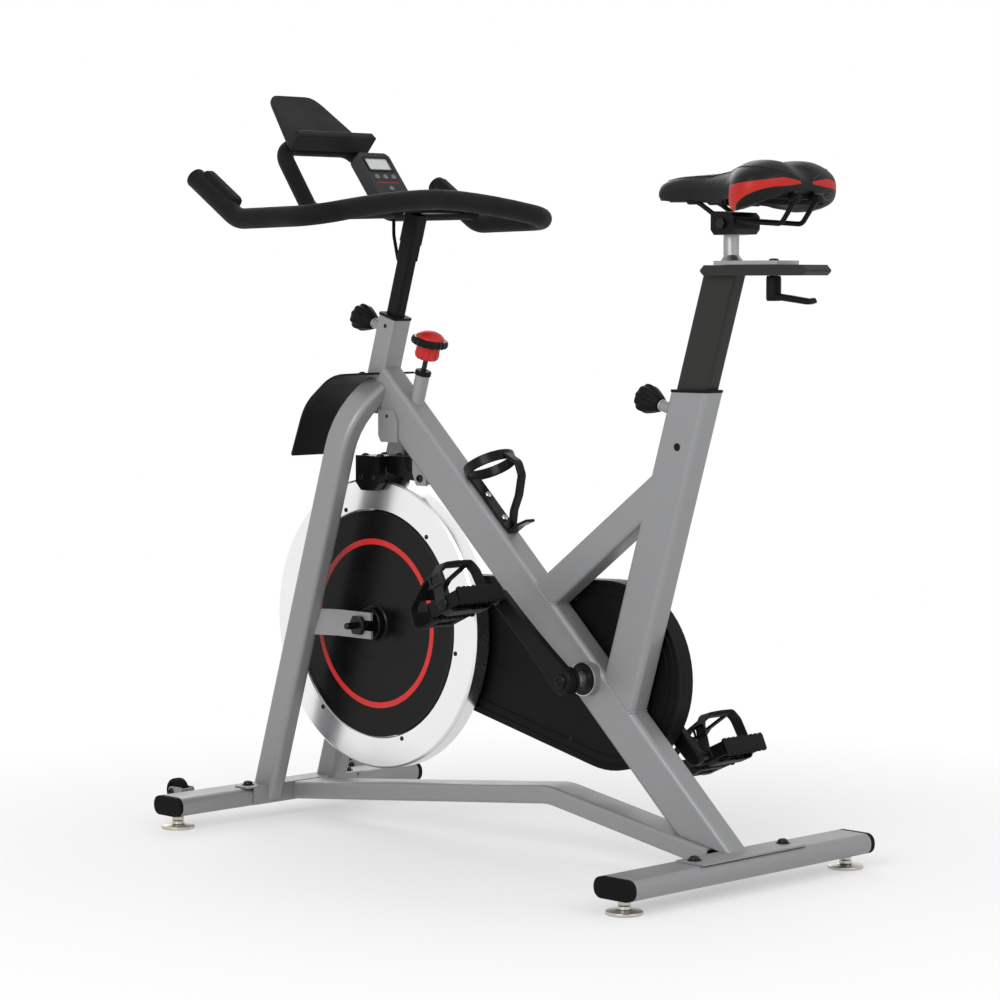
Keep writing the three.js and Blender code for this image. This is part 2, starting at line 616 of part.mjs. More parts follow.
// ---------- crank, pedals ----------
function crankArm(side) {
  const { length, inner, outer, spindleR } = CRANK;
  const tipY = PEDAL.y + PEDAL.width / 2;
  const shape = new THREE.Shape();
  const open = Math.acos(7 / length);
  shape.absarc(0, 0, 20, open, 2 * Math.PI - open);
  shape.absarc(length, 0, 13, -open, open);
  shape.closePath();
  let arm = plate(shape, inner, outer, 10);
  arm = arm.add(cylinder(21, inner - 5, inner + 1, 24));
  arm = arm.subtract(cylinder(spindleR + GAP, inner - 6, outer - 6, 24));
  arm = arm.add(cylinder(PEDAL.axleR, outer - 1, tipY - 6, 16).translate([length, 0, 0]));
  arm = arm.add(cylinder(PEDAL.axleR + 4, outer - 1, outer + 5, 16).translate([length, 0, 0]));
  return side > 0 ? arm : arm.mirror([0, 1, 0]);
}

function pedalBody() {
  const { half, width, height, axleR } = PEDAL;
  let body = box(-half, half, -width / 2, width / 2, -height / 2, height / 2);
  const opening = box(13, half - 8, -width / 2 + 12, width / 2 - 12, -height, height);
  body = body.subtract(opening).subtract(opening.mirror([1, 0, 0]));
  return body.subtract(cylinder(axleR + 0.4, -width / 2 - 1, width / 2 + 1, 16));
}

// A bent strap that runs forward from the pedal, round the toe and back over the foot.
function toeCage() {
  const { half, height } = PEDAL;
  const corners = [[half + GAP, -height / 2], [90, -height / 2], [89, 25], [42, 50], [-8, 59]];
  const outer = rounded(corners.map(([x, z]) => [x, 0, z]), 15, 18);
  const middle = (a, b) => new THREE.Vector3(b.x - a.x, 0, b.z - a.z).normalize();
  const inner = outer.map((p, i) => {
    const run = middle(outer[Math.max(i - 1, 0)], outer[Math.min(i + 1, outer.length - 1)]);
    return new THREE.Vector3(p.x - run.z * 4, 0, p.z + run.x * 4);
  });
  const outline = [...outer, ...inner.reverse()].map((p) => [p.x, p.z]);
  const strap = plate(outline, -33, 33);
  return strap.add(box(half + GAP, half + GAP + 6, -33, 33, -height / 2, height / 2));
}

const crankGroup = new THREE.Group();
crankGroup.position.set(CRANK.x, 0, CRANK.z);
bike.add(crankGroup);
for (const [name, side] of SIDES) {
  const holder = new THREE.Group();
  holder.rotation.y = side > 0 ? -CRANK.angle : Math.PI - CRANK.angle;
  crankGroup.add(holder);
  add(`crank_${name}`, crankArm(side), blackSteel, holder);
  const reach = side * CRANK.length;
  const pedal = new THREE.Group();
  pedal.position.set(reach * Math.cos(CRANK.angle), side * PEDAL.y, reach * Math.sin(CRANK.angle));
  pedal.rotation.y = PEDAL.tilt;
  crankGroup.add(pedal);
  add(`pedal_${name}`, pedalBody(), blackPlastic, pedal);
  add(`toe_cage_${name}`, toeCage(), blackPlastic, pedal);
}
add('crank_spindle', cylinder(CRANK.spindleR, -CRANK.outer + 7, CRANK.outer - 7, 24), blackSteel, crankGroup);

function pulley(r, bore, webHalf) {
  const half = PULLEY.half;
  const rimIn = r - 7;
  const back = [[bore, -half], [bore + 8, -half], [bore + 8, -webHalf], [rimIn, -webHalf], [rimIn, -half],
    [r, -half]];
  const front = [...back].reverse().map(([radius, y]) => [radius, -y]);
  return turned([...back, ...front, back[0]], 36);
}
const drivePulley = pulley(PULLEY.drive, CRANK.spindleR + GAP, 2.5);
place('drive_pulley', drivePulley, blackPlastic, [0, PULLEY.y, 0], crankGroup);

// ---------- flywheel ----------
const flywheelGroup = new THREE.Group();
flywheelGroup.position.set(FLYWHEEL.x, 0, FLYWHEEL.z);
bike.add(flywheelGroup);
function flywheelDisc() {
  const { half, discR, hubR, hubHalf, bore } = FLYWHEEL;
  const lip = discR - GAP;
  const face = half - 1.5;
  const side = [[bore, hubHalf], [hubR, hubHalf], [hubR, 8], [lip - 16, 8], [lip - 12, face], [lip, face]];
  const profile = [...side, ...[...side].reverse().map(([radius, y]) => [radius, -y])];
  return turned([...profile, side[0]], 60);
}
const rim = ring(FLYWHEEL.r, FLYWHEEL.discR, -FLYWHEEL.half, FLYWHEEL.half, 60);
add('flywheel_rim', rim, chrome, flywheelGroup);
add('flywheel_disc', flywheelDisc(), blackSteel, flywheelGroup);
function flywheelPulley() {
  const y0 = PULLEY.y - PULLEY.half;
  return ring(PULLEY.driven, AXLE.spacerR + 1, y0, -FLYWHEEL.hubHalf - GAP, 32);
}
add('flywheel_pulley', flywheelPulley(), blackSteel, flywheelGroup);

// ---------- magnetic brake, rod and knob ----------
function brakeArm() {
  const { pivotX, pivotZ, eyeR, front, rear, pad, under, top, cheekLow } = BRAKE;
  let body = cylinder(eyeR, -10, 10, 20).translate([pivotX, 0, pivotZ]);
  const arm = [[pivotX, 546], [pad - 8, 549], [rear + 6, 558.5], [rear + 6, top], [pad, top], [pad - 8, 562],
    [pivotX, 560]];
  body = body.add(plate(arm, -10, 10));
  body = body.add(box(rear, front, -32, 32, under, top));
  for (const y of [-32, 19]) {
    const cheek = [[rear, under + 1], [front, under + 1], [front, cheekLow + 12], [front - 12, cheekLow],
      [rear + 12, cheekLow], [rear, cheekLow + 12]];
    body = body.add(plate(cheek, y, y + 13));
  }
  body = body.subtract(cylinder(4, -40, 40, 14).translate([pivotX, 0, pivotZ]));
  return body;
}
add('brake_arm', brakeArm(), blackSteel);
add('brake_rod', beam(guideRodPoint(ROD.bottom), guideRodPoint(ROD.top), circle(ROD.r), 5), blackSteel);

function knob() {
  const { gripR, hubR } = KNOB;
  const profile = [[0, 10], [ROD.r + GAP, 10], [ROD.r + GAP, 0], [hubR - 3, 0], [hubR, 4], [hubR - 1, 19],
    [gripR - 2, 23], [gripR, 26], [gripR, 30], [gripR - 3, 33.5], [20, 40], [10, 43.5], [0, 44.5]];
  return turned(profile, 24, true);
}
place('brake_knob', knob().rotate([0, -THREE.MathUtils.radToDeg(LEAN), 0]), redPlastic,
  [guideRodPoint(KNOB.base)[0], 0, KNOB.base]);

// ---------- pop pins ----------
function popPin(tail) {
  const { knobR, shaftR, barrel } = PIN;
  const start = barrel + 0.6;
  const profile = [[0, -tail], [shaftR, -tail], [shaftR, start], [9, start], [11, start + 3],
    [17, start + 18], [knobR, start + 29], [knobR, start + 36], [knobR - 4, start + 41], [8, start + 43],
    [0, start + 43.5]];
  return turned(profile, 24, true);
}
const pinFaceHead = along(headTop, -PIN.headBelow, HEAD.size / 2 - 1);
const pinFaceSeat = along(seatTop, -PIN.seatBelow, SEAT_TUBE.depth / 2 - 1);
for (const [name, at, tail] of [['handlebar_pin', pinFaceHead, 4], ['seat_pin', pinFaceSeat, 2.6]]) {
  const pin = popPin(tail).rotate([0, 90 - THREE.MathUtils.radToDeg(LEAN), 0]);
  place(name, pin, blackPlastic, [at[0], 0, at[1]]);
}

// ---------- handlebar ----------
function barRoute() {
  const crestLift = BAR.crest[1] - BAR.corner[2];
  const half = [BAR.tip, BAR.bend, BAR.corner];
  const height = (s) => BAR.corner[2] + crestLift * (1 - s ** 1.6);
  const span = [0.62, 0.3].map((s) => [BAR.crest[0], BAR.corner[1] * s, height(s)]);
  const left = [...half, ...span];
  const mirrored = [...left].reverse().map(([x, y, z]) => [x, -y, z]);
  return rounded([...left, [BAR.crest[0], 0, BAR.crest[1]], ...mirrored], 48, 12);
}
const barEnvelope = sweep(barRoute(), circle(BAR.r + GAP), 3);

function loopRoute() {
  const { y, z, knee, top } = LOOP;
  const half = [[BAR.crest[0], y, z], [knee, y, z], [top[0], y, top[1]]];
  return rounded([...half, ...[...half].reverse().map(([x, side, h]) => [x, -side, h])], 32, 14);
}
const loopEnvelope = sweep(loopRoute(), circle(LOOP.r + GAP), 3);

function handlebarPost() {
  const top = along(headTop, POST.outside);
  const post = beam(along(headTop, -POST.inside), top, section(POST, 2));
  const neck = { width: POST.width + 5, depth: POST.depth + 5, corner: 5 };
  const sleeve = { width: POST.width + 3, depth: POST.depth + 3, corner: 4.5 };
  let body = post.add(beam(along(headTop, 120), along(headTop, POST.outside + 6), section(neck, 2.6)));
  body = body.add(beam(along(headTop, 94), along(headTop, 121), section(sleeve, 1.6)));
  body = body.subtract(box(100, 400, -40, 40, DECK.low + 1, 1100));
  body = body.add(box(DECK.rear, DECK.front, -DECK.half, DECK.half, DECK.low, DECK.high));
  const [x, z] = consoleBack(-5, 3);
  body = body.add(box(x - 22, x + 3, -18, 18, DECK.high - 1, z + 2));
  const backPlate = section({ width: 36, depth: 4.4, corner: 1 });
  body = body.add(beam(consoleBack(-5, 2.6), consoleBack(48, 2.6), backPlate));
  body = body.subtract(cylinder(3.4, DECK.low - 2, DECK.high + 1, 14, true).translate([CABLE.x, 0, 0]));
  const enter = cablePoints();
  body = body.subtract(sweep(enter.map((p) => new THREE.Vector3(...p)), circle(CABLE.r + 1), 3));
  return body.subtract(barEnvelope).subtract(loopEnvelope);
}

// A point behind the console's back face: s along the face from its lower edge, off behind it.
function consoleBack(s, off) {
  const [ux, uz] = CONSOLE.up;
  const depth = CONSOLE.depth + GAP + off;
  return [CONSOLE.low[0] + ux * s + uz * depth, CONSOLE.low[1] + uz * s - ux * depth];
}

function cablePoints() {
  return rounded([[CABLE.x, 0, DECK.high], [CABLE.x, 0, 925], [252, 0, 884], [238, 0, 868]], 40, 12)
    .map((p) => p.toArray());
}

function consoleBody() {
  const { low, up, height, width, depth, corner } = CONSOLE;
  const middle = [low[0] + (up[0] * height) / 2, low[1] + (up[1] * height) / 2];
  const geometry = extrude(roundedRect(width, height, corner), depth, 4);
  geometry.translate(0, 0, -depth);
  let body = solid(geometry);
  const well = extrude(roundedRect(50, 26, 3), 3);
  well.translate(0, 22, -1.6);
  body = body.subtract(solid(well));
  for (const [x, y] of BUTTON.places) {
    body = body.subtract(cylinder(BUTTON.r + 0.35, -4.5, 2, 16, true).translate([x, y, 0]));
  }
  return body.transform(consoleMatrix(middle));
}

// The console's face: local x is across, local y is up the face, local z is out of it.
function consoleMatrix([x, z]) {
  const [ux, uz] = CONSOLE.up;
  return [0, -1, 0, 0, ux, 0, uz, 0, -uz, 0, ux, 0, x, 0, z, 1];
}

function mediaHolder() {
  const { low, high, lowHalf, highHalf, thickness, lip, lipWall } = HOLDER;
  const run = Math.hypot(high[0] - low[0], high[1] - low[1]);
  const up = [(high[0] - low[0]) / run, (high[1] - low[1]) / run];
  const shape = new THREE.Shape();
  const shoulder = run - 22;
  shape.moveTo(-lowHalf, 0);
  shape.lineTo(lowHalf, 0);
  shape.lineTo(lowHalf, 6);
  shape.lineTo(highHalf + 7, shoulder);
  shape.quadraticCurveTo(highHalf, run, highHalf - 16, run);
  shape.lineTo(-highHalf + 16, run);
  shape.quadraticCurveTo(-highHalf, run, -highHalf - 7, shoulder);
  shape.lineTo(-lowHalf, 6);
  const geometry = extrude(shape, thickness, 4);
  geometry.translate(0, 0, -thickness);
  const matrix = [0, -1, 0, 0, up[0], 0, up[1], 0, -up[1], 0, up[0], 0, low[0], 0, low[1], 1];
  const shelf = box(-lowHalf, lowHalf, -lipWall, 0, -thickness, lip);
  let body = solid(geometry).add(shelf).transform(matrix);
  const under = [LOOP.top[0], LOOP.top[1] + 9];
  body = body.add(plate([[under[0] - 14, under[1]], [under[0] + 14, under[1]], [under[0] + 18, under[1] + 20],
    [under[0] - 16, under[1] + 6]], -24, 24));
  return body.subtract(loopEnvelope);
}

add('handlebar_post', handlebarPost(), blackSteel);
add('handlebar_bar', sweep(barRoute(), circle(BAR.r), 3), foam);
add('media_loop', sweep(loopRoute(), circle(LOOP.r), 3).subtract(barEnvelope), foam);
add('console_body', consoleBody(), greyPlastic);
add('media_holder', mediaHolder(), blackPlastic);
add('display_cable', sweep(cablePoints().map((p) => new THREE.Vector3(...p)), circle(CABLE.r), 2), rubber);
BUTTON.places.forEach(([x, y], i) => {
  const { low, up, height } = CONSOLE;
  const middle = [low[0] + (up[0] * height) / 2, low[1] + (up[1] * height) / 2];
  const button = cylinder(BUTTON.r, -3.2, BUTTON.proud, 16, true).translate([x, y, 0]);
  add(`console_button_${i + 1}`, button.transform(consoleMatrix(middle)), greyPlastic);
});

// ---------- seat post, slide and saddle ----------
function seatPost() {
  const { front, rear, width, wall, low, high, slotX, slotHalf, slotWidth } = SLIDE_RAIL;
  const post = beam(along(seatTop, -SEAT_POST.inside), along(seatTop, 200), section(SEAT_POST, WALL));
  let body = post.subtract(box(-600, -300, -40, 40, low + 1, 1100));
  const outline = [[rear, low + 5], [rear + 6, low], [front - 6, low], [front, low + 5], [front, low + 8],
    [front - 7, high], [rear + 7, high], [rear, low + 8]];
  const half = width / 2 - wall;
  const inside = box(rear + 9, front - 9, -half, half, low + wall, high - wall);
  body = body.add(plate(outline, -width / 2, width / 2).subtract(inside));
  const slot = box(slotX - slotHalf, slotX + slotHalf, -slotWidth / 2, slotWidth / 2, low - 1, high + 1);
  return body.subtract(slot);
}

function saddleSlider() {
  const { high, slotX } = SLIDE_RAIL;
  const { pillarX, pillarR, pillarTop } = SADDLE;
  let body = box(-526, -412, -24, 24, high + GAP, high + 6);
  body = body.add(cylinder(LEVER.boltR, LEVER.low + 8, high + 2, 18, true).translate([slotX, 0, 0]));
  const pillar = [[0, high + 5], [18, high + 5], [13, high + 11], [pillarR, high + 14], [pillarR, pillarTop],
    [0, pillarTop]];
  return body.add(turned(pillar, 24, true).translate([pillarX, 0, 0]));
}

function saddleRailRoute(side) {
  const points = [[-372, 966.5], [-387, 960], [-424, 938], [-532, 931], [-556, 962], [-556, 966.5]];
  return rounded(points.map(([x, z]) => [x, side * SADDLE.railY, z]), 12, 25);
}

function saddleRails() {
  const railAt = (side) => sweep(saddleRailRoute(side), circle(SADDLE.railR), 2);
  const bridge = box(-558, -551, -SADDLE.railY, SADDLE.railY, 958, 966);
  return railAt(1).add(railAt(-1)).add(bridge);
}

function saddleClamp() {
  const outline = [[-452, 925], [-446, 918], [-416, 917], [-410, 924], [-410, 945], [-416, 950], [-446, 948],
    [-452, 942]];
  let body = plate(outline, -28, 28);
  for (const side of [1, -1]) {
    body = body.subtract(sweep(saddleRailRoute(side), circle(SADDLE.railR + GAP), 2));
  }
  const seat = cylinder(SADDLE.pillarR + GAP, 900, SADDLE.pillarTop + GAP, 24, true);
  return body.subtract(seat.translate([SADDLE.pillarX, 0, 0]));
}

// The saddle's plan: half-width at a distance behind the nose.
function saddlePlan(inset) {
  const { nose, rear } = SADDLE;
  const stations = [[0, 17], [8, 23], [30, 27], [90, 29], [133, 38], [158, 47], [173, 60], [183, 70],
    [198, 86], [211, 94], [228, 95], [245, 88], [258, 70], [265, 45]];
  const squeeze = (nose - rear - 2 * inset) / (nose - rear);
  const half = stations.map(([back, width]) => [nose - inset - back * squeeze, width - inset]);
  const points = [...half, ...[...half].reverse().map(([x, width]) => [x, -width])];
  return new THREE.Shape(points.map(([x, y]) => new THREE.Vector2(x, y)));
}

function saddlePad() {
  const { low, high } = SADDLE;
  const bevel = { bevelEnabled: true, bevelThickness: 10, bevelSize: 9, bevelSegments: 2, curveSegments: 1 };
  bevel.depth = high - low - 34;
  const geometry = new THREE.ExtrudeGeometry(saddlePlan(10), bevel);
  geometry.translate(0, 0, low + 24);
  return solid(geometry);
}

function saddleShell() {
  const { low } = SADDLE;
  const geometry = extrude(saddlePlan(14), 6.4, 1);
  geometry.translate(0, 0, low + 7.2);
  let body = solid(geometry);
  for (const side of [1, -1]) {
    body = body.subtract(sweep(saddleRailRoute(side), circle(SADDLE.railR + GAP), 2));
  }
  return body.subtract(box(-558.5, -550.5, -SADDLE.railY - 0.5, SADDLE.railY + 0.5, 957, 966.5));
}

function clampLever() {
  const { hubR, low, handle, boltR } = LEVER;
  const under = SLIDE_RAIL.low - GAP;
  let body = cylinder(hubR, low, under, 20, true);
  body = body.subtract(cylinder(boltR + GAP, low + 7, under + 1, 18, true));
  const outline = [[-2, low + 6], [-30, low + 2], [-handle + 6, low - 4], [-handle, low - 2],
    [-handle, low + 5], [-32, low + 11], [-2, low + 16]];
  return body.add(plate(outline, -7, 7).subtract(cylinder(boltR + GAP, low + 7, under + 1, 18, true)));
}

add('seat_post', seatPost(), blackSteel);
add('saddle_slider', saddleSlider(), silver);
add('saddle_clamp', saddleClamp(), blackSteel);
add('saddle_rails', saddleRails(), blackSteel);
add('saddle_shell', saddleShell(), blackPlastic);
add('saddle_pad', saddlePad(), leather);
place('seat_clamp_lever', clampLever(), blackPlastic, [SLIDE_RAIL.slotX, 0, 0]);

export default bike;
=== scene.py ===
"""Looks of the indoor spin bike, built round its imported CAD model.
Lengths in this file are millimetres, in the model's frame: +X forward, +Y to the rider's left, +Z up.
The builders turn them into Blender's metres."""

import json
from math import acos, atan, atan2, copysign, cos, degrees, exp, pi, radians, sin, sqrt, tan

import bmesh
import bpy
from mathutils import Matrix, Vector


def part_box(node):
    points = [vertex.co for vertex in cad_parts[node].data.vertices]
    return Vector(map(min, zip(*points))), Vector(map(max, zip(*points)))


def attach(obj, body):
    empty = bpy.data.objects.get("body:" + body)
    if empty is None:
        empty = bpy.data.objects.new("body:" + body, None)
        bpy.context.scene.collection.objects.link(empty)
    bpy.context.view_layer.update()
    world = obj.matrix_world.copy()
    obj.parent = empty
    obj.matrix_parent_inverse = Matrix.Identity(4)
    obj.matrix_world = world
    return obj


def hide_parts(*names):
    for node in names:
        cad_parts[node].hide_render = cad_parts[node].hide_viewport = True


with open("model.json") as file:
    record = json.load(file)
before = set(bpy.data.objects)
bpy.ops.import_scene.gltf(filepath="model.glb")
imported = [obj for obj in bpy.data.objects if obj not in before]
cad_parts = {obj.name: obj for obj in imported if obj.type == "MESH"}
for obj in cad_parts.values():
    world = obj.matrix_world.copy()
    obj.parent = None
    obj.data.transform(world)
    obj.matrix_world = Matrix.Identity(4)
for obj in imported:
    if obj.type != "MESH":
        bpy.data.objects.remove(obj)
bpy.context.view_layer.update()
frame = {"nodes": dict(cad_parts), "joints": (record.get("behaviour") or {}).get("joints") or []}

SCENE = bpy.context.scene
MM = 0.001
NODES = frame["nodes"]
JOINT = {joint["name"]: joint for joint in frame["joints"]}
LEAN = radians(17)
UP = Vector((-sin(LEAN), 0, cos(LEAN)))
AHEAD = Vector((cos(LEAN), 0, sin(LEAN)))
SIDES = (("left", 1), ("right", -1))


def sideways(amount):
    return Vector((0, amount, 0))


def pivot(joint):
    """A joint's place in millimetres."""
    return Vector(JOINT[joint]["pos_m"]) / MM


def span(node):
    """A CAD node's lowest and highest corners in millimetres."""
    low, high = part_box(node)
    return low / MM, high / MM


# ---------- camera, floor and light ----------
CAMERA = {"place": (-3268.6, 3301.2, 848.3), "azimuth": 224.979, "elevation": 3.948, "lens": 112.27}


def add_camera():
    data = bpy.data.cameras.new("camera")
    data.lens = CAMERA["lens"]
    data.sensor_width = 36
    data.clip_end = 60
    camera = bpy.data.objects.new("camera", data)
    camera.location = Vector(CAMERA["place"]) * MM
    pitch = radians(90 - CAMERA["elevation"])
    camera.rotation_euler = (pitch, 0, -radians(360 - CAMERA["azimuth"]))
    SCENE.collection.objects.link(camera)
    bpy.context.scene.camera = camera


def add_light(name, place, size, power):
    data = bpy.data.lights.new(name, "AREA")
    data.shape = "RECTANGLE"
    data.size, data.size_y = size
    data.energy = power
    light = bpy.data.objects.new(name, data)
    light.location = place
    light.rotation_euler = (LIGHT_AIM - Vector(place)).to_track_quat("-Z", "Y").to_euler()
    SCENE.collection.objects.link(light)


def blend_shaders(tree, share, first, second, output):
    """Sends two shaders, mixed by a share of the second, to a tree's output node."""
    blend = add_node(tree, "MixShader")
    for source, socket in zip((share, first.outputs[0], second.outputs[0]), blend.inputs):
        tree.links.new(source, socket)
    tree.links.new(blend.outputs[0], tree.nodes[output].inputs["Surface"])


def white_world():
    """A white studio whose light on matt surfaces is turned down."""
    world = bpy.data.worlds.new("studio")
    world.use_nodes = True
    tree = world.node_tree
    white = tree.nodes["Background"]
    dim = add_node(tree, "Background", Strength=FILL_STRENGTH)
    for background in (white, dim):
        background.inputs["Color"].default_value = (1, 1, 1, 1)
    ray = add_node(tree, "LightPath")
    blend_shaders(tree, ray.outputs["Is Diffuse Ray"], white, dim, "World Output")
    return world


# Area lights in metres and watts: name, place, size, power. All aim at the middle of the bike.
LIGHTS = (("key", (-1.4, 4.2, 2.4), (2.6, 2.2), 105), ("rear", (-4.0, -0.4, 2.6), (2, 2), 42),
          ("rim", (3.5, -2.5, 2.6), (2.5, 2), 45))
LIGHT_AIM = Vector((0, 0, 0.6))
FILL_STRENGTH = 0.55
FLOOR_SIZE = 60


def add_studio():
    SCENE.world = white_world()
    SCENE.view_settings.view_transform = "Standard"
    for light in LIGHTS:
        add_light(*light)
    bpy.ops.mesh.primitive_plane_add(size=FLOOR_SIZE)
    floor = bpy.context.object
    floor.name = "floor"
    floor.data.materials.append(MATERIAL["floor"])


# ---------- materials ----------
def add_node(tree, kind, **settings):
    node = tree.nodes.new("ShaderNode" + kind)
    for key, value in settings.items():
        if key in node.inputs:
            node.inputs[key].default_value = value
        else:
            setattr(node, key, value)
    return node


def specular(level):
    return {"Specular_IOR_Level": level}


DULL, SATIN = specular(0.1), specular(0.3)


class Surface:
    """A procedural material: a Principled shader whose look comes from noise in object space."""

    def __init__(self, name, color, roughness, metallic=0.0, **sockets):
        self.material = bpy.data.materials.new(name)
        self.material.use_nodes = True
        self.tree = self.material.node_tree
        self.shader = self.tree.nodes["Principled BSDF"]
        sockets.update(Base_Color=(*color, 1), Roughness=roughness, Metallic=metallic)
        for key, value in sockets.items():
            self.shader.inputs[key.replace("_", " ")].default_value = value
        self.color = color
        self.place = add_node(self.tree, "TexCoord").outputs["Object"]
        self.normal = None

    def link(self, output, target):
        self.tree.links.new(output, target)

    def texture(self, kind, output, **settings):
        node = add_node(self.tree, kind, **settings)
        self.link(self.place, node.inputs["Vector"])
        return node.outputs[output]

    def noise(self, scale, detail=4.0, rough=0.6):
        return self.texture("TexNoise", "Fac", Scale=scale, Detail=detail, Roughness=rough)

    def cells(self, scale):
        return self.texture("TexVoronoi", "Distance", Scale=scale)

    def vector_math(self, operation, value, other=None):
        node = add_node(self.tree, "VectorMath", operation=operation)
        self.link(value, node.inputs[0])
        if other:
            node.inputs[1].default_value = other
        return node

    def remap(self, value, low, high, to_low, to_high):
        node = add_node(self.tree, "MapRange")
        for key, number in zip(("From Min", "From Max", "To Min", "To Max"), (low, high, to_low, to_high)):
            node.inputs[key].default_value = number
        self.link(value, node.inputs["Value"])
        return node.outputs["Result"]

    def tint(self, mask, other):
        """Mixes another colour in where the mask is high."""
        mix = add_node(self.tree, "Mix", data_type="RGBA")
        self.link(mask, mix.inputs["Factor"])
        base = self.shader.inputs["Base Color"]
        if base.is_linked:
            self.link(base.links[0].from_socket, mix.inputs[6])
        else:
            mix.inputs[6].default_value = base.default_value
        mix.inputs[7].default_value = (*other, 1)
        self.link(mix.outputs[2], base)
        return self

    def mottle(self, scale, amount, shade):
        """Broad, faint patches of a darker tone."""
        mask = self.remap(self.noise(scale), 0.35, 0.75, 0.0, amount)
        return self.tint(mask, tuple(c * shade for c in self.color))

    def worn(self, scale, amount, light):
        """Small rubbed specks of a lighter tone."""
        mask = self.remap(self.noise(scale, 8.0, 0.75), 0.66, 0.74, 0.0, amount)
        return self.tint(mask, tuple(min(1.0, c * light + 0.004) for c in self.color))

    def smudge(self, scale, low, high):
        """Roughness that drifts between two values."""
        self.link(self.remap(self.noise(scale, 6.0), 0.3, 0.7, low, high), self.shader.inputs["Roughness"])
        return self

    def bump(self, height, depth, strength):
        node = add_node(self.tree, "Bump", Distance=depth, Strength=strength)
        self.link(height, node.inputs["Height"])
        if self.normal:
            self.link(self.normal, node.inputs["Normal"])
        self.normal = node.outputs["Normal"]
        self.link(self.normal, self.shader.inputs["Normal"])
        return self


def powder_coat(name, color, metallic, low, high, **sockets):
    """Sprayed and baked paint: fine orange peel, a few rubbed specks."""
    s = Surface(name, color, low, metallic, **sockets)
    s.mottle(7, 0.16, 0.82).worn(45, 0.25, 1.5).smudge(12, low, high)
    s.bump(s.noise(900, 2), 0.00004, 0.35)
    return s.material


def moulded(name, color, low, high, grain=1600, depth=0.00006, **sockets):
    """Injection-moulded plastic with a spark-eroded grain."""
    s = Surface(name, color, low, **sockets)
    s.mottle(14, 0.35, 0.6).worn(70, 0.3, 2.6).smudge(18, low, high)
    s.bump(s.cells(grain), depth, 0.5)
    s.bump(s.noise(40), 0.0002, 0.12)
    return s.material


def foam_cover(name):
    """Closed-cell foam sleeve: dull, with fine pores."""
    s = Surface(name, (0.004, 0.004, 0.0043), 0.75, Sheen_Weight=0.04, Sheen_Roughness=0.6, **DULL)
    s.mottle(20, 0.5, 0.5).worn(90, 0.35, 2.6).smudge(25, 0.62, 0.85)
    s.bump(s.cells(900), 0.00022, 0.55)
    s.bump(s.noise(260, 5), 0.00025, 0.4)
    return s.material


def polished_rim(name):
    """Turned and polished steel: rings left by the lathe, and broad soft smears."""
    s = Surface(name, (0.86, 0.86, 0.87), 0.2, 1.0)
    shift = s.vector_math("SUBTRACT", s.place, pivot("flywheel_spin") * MM)
    flat = s.vector_math("MULTIPLY", shift.outputs[0], (1, 0, 1))
    radius = s.vector_math("LENGTH", flat.outputs[0])
    ripple = add_node(s.tree, "TexNoise", Scale=2600.0, Detail=3.0, noise_dimensions="1D")
    s.link(radius.outputs["Value"], ripple.inputs["W"])
    s.mottle(6, 0.2, 0.8)
    s.smudge(8, 0.16, 0.3)
    s.bump(ripple.outputs["Fac"], 0.00003, 0.35)
    return s.material


def bare_steel(name, color, low, high, scale=220):
    """Plated or machined steel: fine scratches and dull patches."""
    s = Surface(name, color, low, 1.0)
    s.mottle(30, 0.35, 0.7).smudge(25, low, high)
    s.bump(s.noise(scale, 8, 0.8), 0.00005, 0.3)
    return s.material


def webbing(name, color):
    """Woven strap: two crossed sets of fine ribs."""
    s = Surface(name, color, 0.8, Sheen_Weight=0.12, **specular(0.2))
    for direction in ("X", "Z"):
        wave = s.texture("TexWave", "Fac", Scale=180.0, Distortion=0.4, bands_direction=direction)
        s.bump(wave, 0.0003, 0.5)
    s.mottle(40, 0.4, 0.5)
    return s.material


def display_glass(name):
    """A pale reflective display behind a clear window."""
    s = Surface(name, (0.55, 0.57, 0.54), 0.12, Coat_Weight=0.8, Coat_Roughness=0.05)
    s.mottle(60, 0.3, 0.85)
    s.bump(s.noise(50), 0.0001, 0.05)
    return s.material


def floor_paper(name):
    """White paper that glows towards its far part, where it runs into the background."""
    s = Surface(name, (0.93, 0.93, 0.93), 0.9, **DULL)
    s.mottle(1.5, 0.05, 0.97)
    reach = s.vector_math("LENGTH", s.place)
    glow = add_node(s.tree, "Emission", Strength=1.0)
    share = s.remap(reach.outputs["Value"], 0.4, 1.3, 0.35, 1.0)
    blend_shaders(s.tree, share, s.shader, glow, "Material Output")
    return s.material


